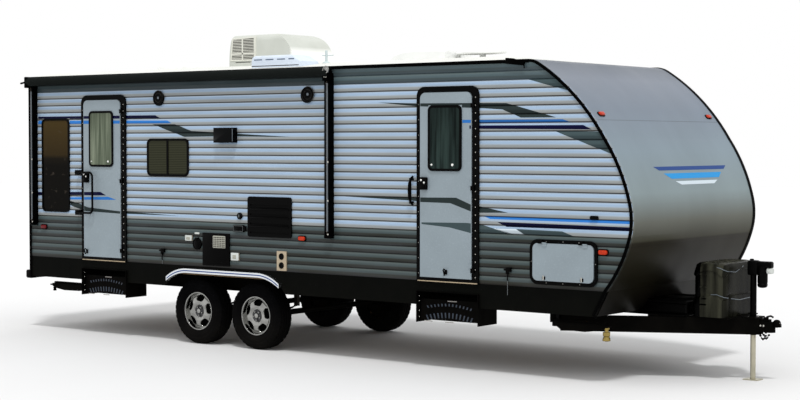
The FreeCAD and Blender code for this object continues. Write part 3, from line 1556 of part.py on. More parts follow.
def wall_fittings():
    """Black fittings of the door side: speakers, porch lamp, shore power inlet, catches, handle."""
    pieces = [grab_handle()]
    for index, station in enumerate((S.speaker_rear, S.speaker_front)):
        pieces.append(prism(f"speaker_{index}", "Y", -(HALF_WIDTH + S.speaker_depth), S.speaker_depth, (),
                            [((along(station), S.roof_top - S.speaker_drop), S.speaker_radius)]))
    pieces.append(plate("porch_lamp", S.porch_lamp_station, S.porch_lamp_width, S.porch_lamp_bottom,
                        S.porch_lamp_height, S.porch_lamp_depth))
    pieces.append(prism("shore_inlet", "Y", -(HALF_WIDTH + S.speaker_depth), S.speaker_depth, (),
                        [((along(S.shore_station), S.shore_height), S.shore_radius)]))
    for index, z in enumerate((S.loop_bottom, S.loop_bottom + S.loop_height)):
        depth = S.loop_out - S.handle_rod - S.seat_gap
        pieces.append(plate(f"loop_bracket_{index}", S.rear_door - S.loop_bracket - S.moving_gap,
                            S.loop_bracket, z - S.loop_bracket / 2, S.loop_bracket, depth))
    catches = (S.rear_door + S.door_width + S.catch_ahead, FRONT_DOOR + S.door_width + S.catch_front_ahead)
    for index, station in enumerate(catches):
        pieces.append(plate(f"door_catch_{index}", station, S.catch_width, S.catch_level, S.catch_width,
                            S.catch_width * 0.6))
    return node("wall_fittings", group("wall_fittings", pieces))


def lamps():
    """Amber side markers and red tail lamps, blank and generic."""
    amber = []
    for index, station in enumerate((S.marker_middle, S.body_length - S.marker_nose)):
        lamp = plate(f"marker_{index}", station, S.marker_width, S.marker_level, S.marker_height,
                     S.marker_depth)
        amber += [lamp, mirrored(f"marker_far_{index}", lamp)]
    node("amber_markers", group("amber_markers", amber))
    marker = plate("rear_marker", S.marker_rear, S.marker_width, S.marker_level, S.marker_height,
                   S.marker_depth)
    tail = block("tail_lamp", (along(ZERO) - S.marker_depth, S.marker_depth),
                 (-(HALF_WIDTH - S.tail_lamp_inset) - S.tail_lamp_width / 2, S.tail_lamp_width),
                 (S.tail_lamp_level, S.tail_lamp_height))
    near = group("red_lamps_near", [marker, tail])
    node("red_lamps", both_sides("red_lamps", near))


# Roof equipment


def air_conditioner():
    """Roof air conditioner: base pan, upright grille box at the rear and a shroud that falls forward."""
    x = along(S.cooler_station)
    foot = S.roof_top
    base = S.roof_top + S.crown_rise
    top = base + S.cooler_height
    front = x + S.cooler_length
    bulge = S.cooler_bulge
    half = S.cooler_width / 2
    low = base + S.cooler_pan
    crest = x + S.cooler_length * 0.72
    profile = [(x, foot), (front, foot), (front, low), (crest, top), (x + bulge, top), (x, low)]
    hull = prism("air_conditioner_hull", "Y", -half, half * 2,
                 [(profile, {2: -S.cooler_length * 0.36, 4: -S.cooler_length * 1.1})])
    across = prism("air_conditioner_section", "X", x, S.cooler_length, [
        rounded(-half, foot - S.overrun, half, top, bulge * 1.6, ZERO)])
    return node("air_conditioner", on_crown("air_conditioner",
                                            common("air_conditioner_shroud", [hull, across])))


def fridge_cap():
    """Louvred cap over the refrigerator's flue, near the door side's edge."""
    x = along(S.fridge_vent_station - S.fridge_cap_lead)
    length = S.fridge_vent_width + S.fridge_cap_lead
    top = S.roof_top + S.fridge_cap_height + S.crown_rise * 0.35
    side = S.fridge_cap_height * 0.5
    profile = [(x, S.roof_top), (x + length, S.roof_top), (x + length - side * 0.3, top - side),
               (x + length - side, top), (x + side, top), (x + side * 0.3, top - side)]
    return prism("fridge_cap", "Y", -(HALF_WIDTH - S.fridge_cap_inset), S.fridge_cap_width,
                 [(profile, {2: -side * 1.2, 4: -side * 1.2})])


def vent_cover():
    """Rain cover over a roof fan: a long curved back and an upright louvred front."""
    x = along(S.vent_cover_station)
    end = x + S.vent_cover_length
    top = S.roof_top + S.crown_rise + S.vent_cover_height
    low = S.roof_top
    crest = x + S.vent_cover_length * 0.42
    profile = [(x, low), (end, low), (end - S.vent_height * 0.3, top - S.vent_height * 0.4),
               (end - S.vent_height, top), (crest, top), (x, low + S.crown_rise)]
    return prism("vent_cover", "Y", -(S.vent_cover_width / 2), S.vent_cover_width,
                 [(profile, {2: -S.vent_height * 1.2, 4: -S.vent_cover_length * 0.62})])


def antenna():
    """Television antenna folded down on its post."""
    x = along(S.antenna_station)
    base = S.roof_top
    low = S.roof_top + S.crown_rise + S.antenna_height * 0.4
    wing = prism("antenna_wing", "Z", low, S.antenna_height * 0.34, [
        rounded(x, -(S.antenna_width * 2), x + S.antenna_length, S.antenna_width, S.antenna_width * 0.5)])
    post = rod("antenna_post", "Z", x + S.antenna_length * 0.55, ZERO, base, S.antenna_post, low - base)
    crank = block("antenna_crank", (x - S.antenna_post, S.antenna_length * 0.3),
                  (-(S.antenna_post / 2), S.antenna_post), (low, S.antenna_height * 0.6))
    return join("antenna", [wing, post, crank])


def roof_vents():
    """Flue cap, fan cover, bath hatch, folded antenna and drain pipe."""
    x = along(S.bath_vent_station)
    high = S.roof_top + S.crown_rise + S.vent_height
    lip = S.vent_height * 0.5
    hatch = prism("bath_hatch", "Y", -(S.vent_size / 2), S.vent_size, [(
        [(x, S.roof_top), (x + S.vent_size, S.roof_top), (x + S.vent_size, high - lip),
         (x + S.vent_size - lip, high), (x + lip, high), (x, high - lip)], {})])
    pipe = rod("roof_pipe", "Z", along(S.pipe_station), -(HALF_WIDTH * 0.5), S.roof_top, S.pipe_radius,
               S.crown_rise + S.pipe_height)
    pieces = [fridge_cap(), vent_cover(), hatch, antenna(), pipe]
    seated = [on_crown(f"roof_vent_{index}", piece) for index, piece in enumerate(pieces)]
    return node("roof_vents", group("roof_vents", seated))


# The whole caravan


def build():
    siding_wall("side_wall_door_side", DOOR_SIDE, DOOR_SIDE_WINDOWS, (S.rear_door, FRONT_DOOR))
    siding_wall("side_wall_off_side", OFF_SIDE, OFF_SIDE_WINDOWS, ())
    front_wall()
    rear_wall()
    roof()
    floor()
    skirts()
    fender_trims()
    edge_trims()
    chassis_frame()
    tongue_frame()
    bumper()
    coupler()
    jack()
    gas_pack()
    axles()
    leaf_springs()
    wheels()
    door_frames()
    entry_door("front_door", FRONT_DOOR)
    entry_door("rear_door", S.rear_door)
    baggage_door("baggage_door_near", DOOR_SIDE)
    baggage_door("baggage_door_far", OFF_SIDE)
    windows()
    step_wells()
    steps("front_step", FRONT_DOOR)
    steps("rear_step", S.rear_door)
    stabilizers()
    awning()
    service_vents()
    service_inlets()
    wall_fittings()
    lamps()
    air_conditioner()
    roof_vents()


def check_and_export():
    """Stop on a failed object or a bad shape, then write one file per sub-part."""
    doc.recompute()
    failed = [item.Name for item in doc.Objects if {"Invalid", "Error"} & set(item.State)]
    if failed:
        raise RuntimeError(f"failed objects: {failed}")
    for name, item in nodes.items():
        shape = item.Shape
        if shape.isNull() or not shape.isValid() or not shape.Solids:
            raise RuntimeError(f"bad shape in {name}")
    os.makedirs("parts", exist_ok=True)
    for name, item in nodes.items():
        item.Shape.exportStep(f"parts/{name}.step")
        print(name, len(item.Shape.Solids), round(item.Shape.Volume / 1e6, 3))


build()
check_and_export()
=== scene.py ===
"""Dressed travel caravan: finishes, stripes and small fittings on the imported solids.

Lengths are in metres in the row frame: +X forward, -Y the door side, +Z up, ground at zero.
"""
import bpy
import math
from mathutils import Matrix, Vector
from mathutils.geometry import tessellate_polygon


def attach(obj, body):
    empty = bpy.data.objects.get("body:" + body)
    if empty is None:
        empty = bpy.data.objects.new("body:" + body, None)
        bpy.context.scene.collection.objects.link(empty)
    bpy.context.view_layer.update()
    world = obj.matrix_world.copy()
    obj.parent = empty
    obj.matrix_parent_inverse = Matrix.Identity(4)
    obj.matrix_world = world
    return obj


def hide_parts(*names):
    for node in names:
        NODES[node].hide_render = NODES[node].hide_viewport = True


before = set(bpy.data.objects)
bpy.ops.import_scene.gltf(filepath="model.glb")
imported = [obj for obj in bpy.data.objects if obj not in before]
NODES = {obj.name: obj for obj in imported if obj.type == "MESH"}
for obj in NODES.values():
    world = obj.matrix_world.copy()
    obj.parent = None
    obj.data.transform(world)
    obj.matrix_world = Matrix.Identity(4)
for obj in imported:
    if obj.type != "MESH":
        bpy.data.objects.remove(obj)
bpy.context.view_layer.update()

# Outer faces of the side walls and of the entry door leaves, and the ribs of the wall sheet
WALL = 1.22
LEAF = 1.244
RIB_FOOT, RIB_PITCH, RIB_FLAT, RIB_LIP, RIB_DEPTH = 0.858, 0.0803, 0.036, 0.007, 0.009
REAR = -4.450


def at(station):
    """Row X of a length measured forward from the rear wall, in millimetres."""
    return station / 1000 + REAR


# Materials


def colour(value):
    """Linear colour from a hex word. Anything else passes through."""
    if not isinstance(value, str):
        return value
    parts = [int(value[i:i + 2], 16) / 255 for i in (0, 2, 4)]
    return tuple(c / 12.92 if c <= 0.04045 else ((c + 0.055) / 1.055) ** 2.4 for c in parts) + (1.0,)


def shade(value, factor):
    return tuple(min(c * factor, 1.0) for c in colour(value)[:3]) + (1.0,)


class Finish:
    """A node material on one Principled shader. Colours are given as hex words."""

    def __init__(self, name, specular=0.5, **plain):
        self.material = bpy.data.materials.new(name)
        self.material.use_nodes = True
        self.tree = self.material.node_tree
        self.shader = self.tree.nodes["Principled BSDF"]
        self.shader.inputs["Specular IOR Level"].default_value = specular
        self.coords = self.node("TexCoord").outputs["Object"]
        for key, value in plain.items():
            self.shader.inputs[key.replace("_", " ")].default_value = value

    def node(self, kind):
        return self.tree.nodes.new("ShaderNode" + kind)

    def feed(self, socket, value):
        if isinstance(value, bpy.types.NodeSocket):
            self.tree.links.new(value, socket)
        else:
            socket.default_value = colour(value)

    def math(self, operation, a, b=0.0):
        node = self.node("Math")
        node.operation = operation
        self.feed(node.inputs[0], a)
        self.feed(node.inputs[1], b)
        return node.outputs[0]

    def times(self, a, b):
        return self.math("MULTIPLY", a, b)

    def over(self, a, limit):
        return self.math("GREATER_THAN", a, limit)

    def under(self, a, limit):
        return self.math("LESS_THAN", a, limit)

    def axis(self, letter):
        node = self.node("SeparateXYZ")
        self.feed(node.inputs[0], self.coords)
        return node.outputs[letter]

    def across(self):
        """Distance from the middle plane."""
        return self.math("ABSOLUTE", self.axis("Y"))

    def wave(self, letter, pace):
        return self.math("SINE", self.times(self.axis(letter), pace))

    def ribs(self, operation):
        """With FRACT the place within one rib of the sheet, with FLOOR the rib's number."""
        height = self.math("SUBTRACT", self.axis("Z"), RIB_FOOT)
        return self.math(operation, self.math("DIVIDE", height, RIB_PITCH))

    def noise(self, scale, detail=3.0, stretch=(1, 1, 1)):
        mapping = self.node("Mapping")
        self.feed(mapping.inputs["Vector"], self.coords)
        mapping.inputs["Scale"].default_value = stretch
        node = self.node("TexNoise")
        self.feed(node.inputs["Vector"], mapping.outputs[0])
        node.inputs["Scale"].default_value = scale
        node.inputs["Detail"].default_value = detail
        return node.outputs["Fac"]

    def span(self, value, from_low, from_high, to_low=0.0, to_high=1.0):
        node = self.node("MapRange")
        for socket, item in zip(node.inputs, (value, from_low, from_high, to_low, to_high)):
            self.feed(socket, item)
        return node.outputs[0]

    def ramp(self, value, stops):
        """Colour ramp from a table of places and tones."""
        node = self.node("ValToRGB")
        elements = node.color_ramp.elements
        while len(elements) < len(stops):
            elements.new(0.5)
        for element, place in zip(elements, sorted(stops)):
            element.position = place
            element.color = colour(stops[place])
        self.feed(node.inputs[0], value)
        return node.outputs[0]

    def mix(self, share, a, b):
        node = self.node("Mix")
        node.data_type = "RGBA"
        self.feed(node.inputs["Factor"], share)
        self.feed(node.inputs[6], a)
        self.feed(node.inputs[7], b)
        return node.outputs[2]

    def patches(self, body, tone, noise, start, end, share=1.0):
        """Body with soft patches of another tone where a noise runs from start to end."""
        return self.mix(self.span(noise, start, end, 0.0, share), body, tone)

    def bump(self, height, strength, distance=0.001):
        node = self.node("Bump")
        node.inputs["Strength"].default_value = strength
        node.inputs["Distance"].default_value = distance
        self.feed(node.inputs["Height"], height)
        self.feed(self.shader.inputs["Normal"], node.outputs[0])

    def base(self, value):
        self.feed(self.shader.inputs["Base Color"], value)
        return self.material

    def rough(self, middle, spread, scale=12.0, stretch=(1, 1, 1)):
        noise = self.noise(scale, 4.0, stretch)
        self.feed(self.shader.inputs["Roughness"], self.span(noise, 0.3, 0.7, middle - spread,
                                                             middle + spread))


def coated(name, tone, rough=0.4, spread=0.06, patch=3.0, grain=180.0, bump=0.12, depth=0.0006, dust=0.0,
           stretch=(1, 1, 1), **plain):
    """Paint or plastic with patchy tone, uneven gloss, fine grain and dust that gathers low down."""
    finish = Finish(name, **plain)
    body = finish.mix(finish.noise(patch, 5.0, stretch), shade(tone, 0.86), shade(tone, 1.14))
    speck = finish.span(finish.noise(grain * 0.6, 2.0, stretch), 0.55, 0.75)
    body = finish.mix(finish.times(speck, 0.22), body, shade(tone, 1.5))
    if dust:
        lowness = finish.span(finish.axis("Z"), 0.15, 1.1, dust, 0.0)
        body = finish.mix(finish.times(lowness, finish.noise(7.0, 6.0)), body, "8F8675")
    finish.rough(rough, spread)
    finish.bump(finish.noise(grain, 3.0, stretch), bump, depth)
    return finish.base(body)


NOSE_FOOT, NOSE_TOP = 0.6, 3.0
# Tones of the front skin by height; the near-black tones at the foot are painted shade
NOSE_TONES_AND_SHADE = {0.60: "040302", 0.75: "0C0A06", 0.95: "131109", 1.15: "1E1C13", 1.295: "221F16", 1.31: "3B3A2F",
              1.48: "60625B", 1.74: "808D90", 2.12: "7D8B94", 2.50: "747E8A", 2.80: "7A818C", 2.98: "676D76"}


def nose_tone_and_shade(finish):
    """Grey front skin that turns olive lower down, and dark towards its underside, where the darkening is
    painted shade.
    """
    tones = {(z - NOSE_FOOT) / (NOSE_TOP - NOSE_FOOT): tone for z, tone in NOSE_TONES_AND_SHADE.items()}
    body = finish.ramp(finish.span(finish.axis("Z"), NOSE_FOOT, NOSE_TOP), tones)
    return finish.patches(body, "2C2B26", finish.noise(1.3, 4.0, (1, 1.4, 0.5)), 0.35, 0.75, 0.12)


# Share of the film's tone through one rib: painted shade on the lip and flat, painted highlight on the slope
FILM_RIB_LIGHTING = {0.0: 0.25, 0.11: 0.3, 0.16: 0.72, 0.44: 0.8, 0.52: 1.05, 0.92: 1.3, 0.99: 0.3}
FILM_FRONT, FILM_BACK = 0.0035, 0.002


def film(name, tone):
    """Coloured film on the ribbed sheet, with painted shade on the lips and flats and a painted highlight on
    the slopes; plain where it lies on a door.
    """
    finish = Finish(name, specular=0.06)
    tones = {place: shade(tone, share) for place, share in FILM_RIB_LIGHTING.items()}
    rib_lit = finish.ramp(finish.ribs("FRACT"), tones)
    across = finish.across()
    level = finish.math("MAXIMUM", finish.over(across, WALL + FILM_FRONT),
                        finish.under(across, WALL - RIB_DEPTH - FILM_BACK))
    finish.rough(0.36, 0.05)
    return finish.base(finish.mix(level, rib_lit, tone))


# Painted light through one rib, from its lip up, on the pale sheet and on the dark bands: painted shade on
# the lip, painted reflection of the floor on the flat and painted reflection of the sky on the slope
PALE_RIB_LIGHTING = {0.0: "2A251F", 0.075: "363029", 0.13: "888B8A", 0.43: "979D9F", 0.50: "9CAEC0", 0.72: "98B1CC",
            0.92: "B6C9DD", 0.965: "848C91", 0.99: "332F2A"}
DEEP_RIB_LIGHTING = {0.0: "030303", 0.10: "060605", 0.15: "1C1E1B", 0.43: "2A2D28", 0.50: "384445", 0.72: "445153",
            0.93: "5C6866", 0.99: "0D0E0D"}
TOP_BAND_RIB, LOW_BAND_RIB = 23.5, 5.5
AWNING_FRONT = 0.20


def siding_finish():
    """Enamelled ribbed sheet with dark bands. Its tones through each rib are painted light: painted sky
    reflection on the pale slopes, painted floor reflection on the beige flats and painted shade on the dark
    lips. It also carries a painted shadow under the awning and faint painted shade towards the rear.
    """
    finish = Finish("siding_enamel", specular=0.15)
    x, y, z = (finish.axis(letter) for letter in "XYZ")
    rib = finish.ribs("FRACT")
    row = finish.ribs("FLOOR")
    top_band = finish.over(row, TOP_BAND_RIB)
    deep = finish.mix(finish.times(top_band, 0.2), finish.ramp(rib, DEEP_RIB_LIGHTING), "66808A")
    banded = finish.math("MAXIMUM", top_band, finish.under(row, LOW_BAND_RIB))
    body = finish.mix(banded, finish.ramp(rib, PALE_RIB_LIGHTING), deep)
    # Painted shadow of the awning roller along the top of the door-side sheet, behind the awning's front end
    awning_shadow = finish.times(finish.span(z, 2.76, 2.86, 0.0, 0.72), finish.under(x, AWNING_FRONT))
    body = finish.mix(finish.times(awning_shadow, finish.under(y, 0.0)), body, "0E1110")
    body = finish.patches(body, "5B6068", finish.noise(2.2, 5.0, (0.6, 1, 6)), 0.35, 0.7, 0.18)
    # Faint painted shade, darker towards the rear
    body = finish.patches(body, "3E4650", x, 1.5, -3.5, 0.01)
    # Darker in patches towards the foot of the sheet
    low_darkening = finish.times(finish.span(z, 0.86, 1.3, 0.3, 0.0), finish.noise(5.0, 6.0))
    body = finish.mix(low_darkening, body, "3A352B")
    edge = finish.under(finish.across(), WALL - RIB_DEPTH - 0.0006)
    body = finish.mix(finish.times(edge, finish.over(x, REAR + 0.07)), body, nose_tone_and_shade(finish))
    finish.rough(0.36, 0.07, 3.0, (1, 1, 5))
    finish.bump(finish.noise(2.5, 3.0, (1, 1, 4)), 0.25, 0.004)
    return finish.base(body)


NOSE_SEAMS = ((1.262, 0.75), (2.405, 0.35))
SEAM_HALF = 0.0032


def nose_finish():
    """Glossy laminated front skin with two faint joints and a slight ripple."""
    finish = Finish("nose_gloss", specular=0.06)
    body = nose_tone_and_shade(finish)
    for height, strength in NOSE_SEAMS:
        off = finish.math("ABSOLUTE", finish.math("SUBTRACT", finish.axis("Z"), height))
        body = finish.mix(finish.times(finish.under(off, SEAM_HALF), strength), body, "1A1813")
    finish.rough(0.34, 0.06, 2.0)
    finish.bump(finish.noise(0.9, 2.0, (1, 1.6, 0.7)), 0.25, 0.02)
    return finish.base(body)


EXIT_PANE_FOOT, EXIT_PANE_HEAD, EXIT_PANE_FRONT = 1.40, 2.46, -3.6


def pane_finish():
    """Dark tinted panes: warm brown in the tall exit window, olive blinds behind the others."""
    finish = Finish("tinted_pane", specular=0.035, Roughness=0.08, IOR=1.5)
    warm = finish.ramp(finish.span(finish.axis("Z"), EXIT_PANE_FOOT, EXIT_PANE_HEAD),
                       {0.0: "070604", 0.50: "0A0805", 0.58: "15110A", 0.62: "2E2412", 1.0: "3F3218"})
    warm = finish.patches(warm, "5A5148", finish.noise(9.0, 5.0, (1, 1, 1.6)), 0.62, 0.74, 0.35)
    smoky = finish.mix(finish.span(finish.wave("Z", 330.0), -1.0, 1.0), "23241B", "3A3B2C")
    behind, near = finish.under(finish.axis("X"), EXIT_PANE_FRONT), finish.under(finish.axis("Y"), 0.0)
    return finish.base(finish.mix(finish.times(behind, near), smoky, warm))


COOLER_CREASE = -1.10


def cooler_finish():
    """Cooler shell: greyish towards the rear, white from its crease forward. The grey behind the crease is
    painted shade and the white ahead of it painted light.
    """
    finish = Finish("cooler_plastic", specular=0.1)
    worn_and_shaded = finish.patches("CACDC6", "BFC2BA", finish.noise(4.0, 4.0), 0.3, 0.75)
    # Painted light: white ahead of the crease, shaded grey behind it
    front = finish.span(finish.axis("X"), COOLER_CREASE - 0.02, COOLER_CREASE + 0.02)
    finish.rough(0.5, 0.05)
    return finish.base(finish.mix(front, worn_and_shaded, "F6F6F3"))


COVER_AHEAD, COVER_FACE = 3.905, 4.125


def cover_finish():
    """Glossy moulded cover with painted shade: black towards the rear and darker where it faces forward."""
    finish = Finish("cover_plastic", specular=0.03)
    body = finish.patches("12120E", "3A3A30", finish.noise(14.0, 4.0, (1, 1, 0.12)), 0.35, 0.7)
    # Painted shade: the rear part of the cover black
    body = finish.mix(finish.over(finish.axis("X"), COVER_AHEAD), "010101", body)
    # Painted shade on the forward face
    body = finish.mix(finish.times(finish.over(finish.axis("X"), COVER_FACE), 0.7), body, "050504")
    finish.rough(0.26, 0.06)
    finish.bump(finish.noise(120.0, 3.0), 0.03, 0.0004)
    return finish.base(body)


def metal(name, tone, rough, brush=(1, 1, 1), smudge=0.2):
    """Bare or plated metal with smudges and a faint brushed grain."""
    finish = Finish(name, Metallic=1.0)
    body = finish.patches(colour(tone), shade(tone, 0.45), finish.noise(9.0, 5.0), 0.4, 0.75, smudge)
    finish.rough(rough, 0.05, 30.0, brush)
    finish.bump(finish.noise(220.0, 2.0, brush), 0.08, 0.0003)
    return finish.base(body)


def rubber(name, tone):
    """Tyre rubber with dust near the ground."""
    finish = Finish(name, specular=0.02)
    body = finish.mix(finish.noise(14.0, 6.0), shade(tone, 0.7), shade(tone, 1.5))
    dusty = finish.times(finish.span(finish.axis("Z"), 0.0, 0.5, 0.05, 0.0), finish.noise(6.0, 6.0))
    finish.rough(0.8, 0.07)
    finish.bump(finish.noise(320.0, 4.0), 0.25, 0.0008)
    return finish.base(finish.mix(dusty, body, "6E675A"))


def glow_lens(name, tone, deep):
    """Moulded lens with fine prisms."""
    finish = Finish(name, specular=0.15, Roughness=0.15, Coat_Weight=0.1, Coat_Roughness=0.05)
    finish.bump(finish.wave("X", 900.0), 0.4, 0.0008)
    return finish.base(finish.mix(finish.noise(60.0, 2.0), deep, tone))


def woven(name, tone):
    """Awning cloth with a fine basket weave."""
    finish = Finish(name, specular=0.015)
    weave = finish.times(finish.wave("X", 2600.0), finish.wave("Z", 2600.0))
    body = finish.mix(finish.span(weave, -1.0, 1.0), shade(tone, 0.75), shade(tone, 1.25))
    body = finish.patches(body, shade(tone, 1.9), finish.noise(1.6, 4.0, (0.3, 1, 1)), 0.4, 0.7, 0.3)
    finish.rough(0.62, 0.06)
    finish.bump(weave, 0.3, 0.0005)
    return finish.base(body)


def door_pane(name, dark, light):
    """Tinted pane over a hanging blind, with upright folds."""
    finish = Finish(name, specular=0.05, Roughness=0.10, IOR=1.5)
    body = finish.patches(dark, light, finish.noise(26.0, 4.0, (1, 1, 0.06)), 0.35, 0.68)
    return finish.base(finish.patches(body, shade(dark, 0.6), finish.axis("Z"), 2.3, 2.56, 0.5))


SIDING = siding_finish()
NOSE = nose_finish()
PANE = pane_finish()
BLACK = coated("frame_enamel", "020202", rough=0.42, bump=0.1, specular=0.04)
TRIM = coated("edge_moulding_paint", "020202", rough=0.40, specular=0.012)
SKIRT = coated("skirt_paint", "060706", rough=0.5, dust=0.02, bump=0.15, specular=0.015)
STEEL = coated("chassis_paint", "020202", rough=0.55, dust=0.02, bump=0.2, specular=0.015)
PLASTIC = coated("moulded_plastic", "020202", rough=0.38, grain=260.0, bump=0.18, specular=0.04)
GASKET = coated("soft_gasket", "020202", rough=0.7, grain=300.0, specular=0.04)
SKIN = coated("door_skin_paint", "869299", rough=0.42, spread=0.04, grain=90.0, bump=0.10, dust=0.10,
              specular=0.3)
MEMBRANE = coated("roof_sheet", "DADBD6", rough=0.7, grain=70.0, bump=0.3, depth=0.002)
# Bluish white of the fittings' sides in shade: painted shade, with weathered patches
SHELL_WHITE = coated("weathered_and_shaded_white", "CBD2DC", rough=0.45, patch=5.0)
COOLER_SHELL = cooler_finish()
SLAT = coated("grille_plastic", "D9D9CF", rough=0.45, patch=5.0)
PALE = coated("pale_plastic", "C6CAC6", rough=0.5, specular=0.3)
INLET = coated("inlet_plate", "AA9B84", rough=0.5, specular=0.3)
BOARD = coated("floor_board", "6B563A", rough=0.75, stretch=(0.4, 6, 1), patch=6.0)
BOTTLE = coated("bottle_paint", "DDDBD2", rough=0.35)
COVER = cover_finish()
CHROME = metal("wheel_chrome", "A3A3A0", 0.09, smudge=0.6)
POLISHED = metal("polished_trim", "E2E6EA", 0.24, brush=(0.2, 1, 4))
ZINC = metal("zinc_leg", "B8B39F", 0.36, smudge=0.4)
BOLT = metal("bolt_heads", "C9C7BF", 0.22)
SPRING = metal("spring_steel", "2A2724", 0.6, smudge=0.5)
RUBBER = rubber("tyre_rubber", "050506")
AMBER = glow_lens("amber_lens", "D23A12", "8E1C04")
RED = glow_lens("red_lens", "7E0D16", "3A060A")
CLOTH = woven("awning_cloth", "141716")
FRONT_PANE = door_pane("front_door_pane", "0C1413", "2A3835")
REAR_PANE = door_pane("rear_door_pane", "4A5344", "7C8472")
NAVY = film("navy_film", "04062E")
BLUE = film("blue_film", "2C6DB6")
SKY = film("sky_film", "2A8CCB")
WHITE_FILM = film("white_film", "C4D0D8")
CHARCOAL = film("charcoal_film", "262F2F")
SLATE = film("slate_film", "3C4A4D")
DEEP_BLUE = film("deep_blue_line", "27447E")
DARK = coated("deep_shadow_plastic", "010101", rough=0.8, specular=0.05)
GLOSS_BLACK = coated("gloss_black", "040506", rough=0.12, specular=0.06)
# Bluish copy of the roof fittings' white for the refrigerator cap: painted shade
CAP_SHADED_WHITE = coated("cap_shaded_white", "D0DBE9", rough=0.5, patch=6.0)
TOP_WHITE = coated("roof_fitting_white", "EDEEEC", rough=0.5, patch=5.0)
PIPE_GREY = coated("vent_pipe_grey", "C3CFD0", rough=0.5)
SLOT_BLUE = coated("cap_louvre_shadow", "4A5D78", rough=0.6)
SLOT_BROWN = coated("cap_foot_shadow", "20150D", rough=0.7, specular=0.1)
GRILLE_DARK = coated("grille_shadow", "2E2C28", rough=0.7, specular=0.1)
GRILLE_PALE = coated("heater_grille", "9C9C90", rough=0.5)
CHANNEL_HIGHLIGHT = coated("channel_highlight", "3A3026", rough=0.5)
# Grey for the awning rails, and for painted highlights on the porch lamp's end, the speakers and the gas
# cover's folds
GREY_TRIM_AND_HIGHLIGHT = coated("grey_trim_and_highlight", "5B646B", rough=0.3)
STRAP = coated("strap_wire", "565B5C", rough=0.5)
SILL = coated("door_sill", "A8977C", rough=0.5)
BRIGHT_DOT = coated("catch_white", "E8E8E4", rough=0.3)
PALE_LABEL_AND_HIGHLIGHT = coated("pale_label_and_highlight", "8E8A86", rough=0.5)
HUB_CUP = metal("hub_cup", "4A4A4C", 0.25, smudge=0.5)
BRASS = metal("brass_nut", "A08C52", 0.35, smudge=0.5)
GREY_STEP = coated("step_grip", "1A2634", rough=0.45, bump=0.3)

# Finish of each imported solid. What is named nowhere here is painted steel
PAINTS = {}
for paint, words in ((SIDING, "side_wall_door_side side_wall_off_side rear_wall"), (NOSE, "front_wall"),
                     (MEMBRANE, "roof"), (BOARD, "floor"), (SKIRT, "skirts"), (POLISHED, "fender_trims"),
                     (TRIM, "edge_trims awning_arms"), (ZINC, "jack_leg"), (BOTTLE, "gas_bottles"),
                     (COVER, "gas_cover"), (SPRING, "leaf_springs"), (BLACK, "door_frames window_frames"),
                     (PANE, "window_glass"), (CLOTH, "awning_roller"), (INLET, "service_inlets"),
                     (PLASTIC, "jack_housing service_vents wall_fittings"), (AMBER, "amber_markers"),
                     (RED, "red_lamps"), (COOLER_SHELL, "air_conditioner"), (SHELL_WHITE, "roof_vents")):
    PAINTS.update(dict.fromkeys(words.split(), paint))
WORDS = (("tyre", RUBBER), ("wheel", CHROME), ("_leaf", SKIN), ("_trim", PLASTIC), ("baggage", SKIN),
         ("front_door_glass", FRONT_PANE), ("rear_door_glass", REAR_PANE))


def finish_of(name):
    if name in PAINTS:
        return PAINTS[name]
    return next((paint for word, paint in WORDS if word in name), STEEL)


for name, item in NODES.items():
    item.data.materials.clear()
    item.data.materials.append(finish_of(name))


# Mesh helpers


def around(count):
    return [2 * math.pi * i / count for i in range(count)]


def circle(centre, side, up, radius, count):
    return [centre + side * math.cos(t) * radius + up * math.sin(t) * radius for t in around(count)]


def middle_of(points):
    return Vector((sum(p[0] for p in points) / len(points), sum(p[1] for p in points) / len(points)))


def pulled(points, amount, middle=None):
    """Outline with its points drawn towards its middle."""
    middle = middle or middle_of(points)
    return [Vector(p) + (middle - Vector(p)).normalized() * amount for p in points]


def level(points, z):
    return [(x, y, z) for x, y in points]


def upright(points, y):
    return [(x, y, z) for x, z in points]


def bar(x0, z0, x1, z1):
    return [(x0, z0), (x1, z0), (x1, z1), (x0, z1)]


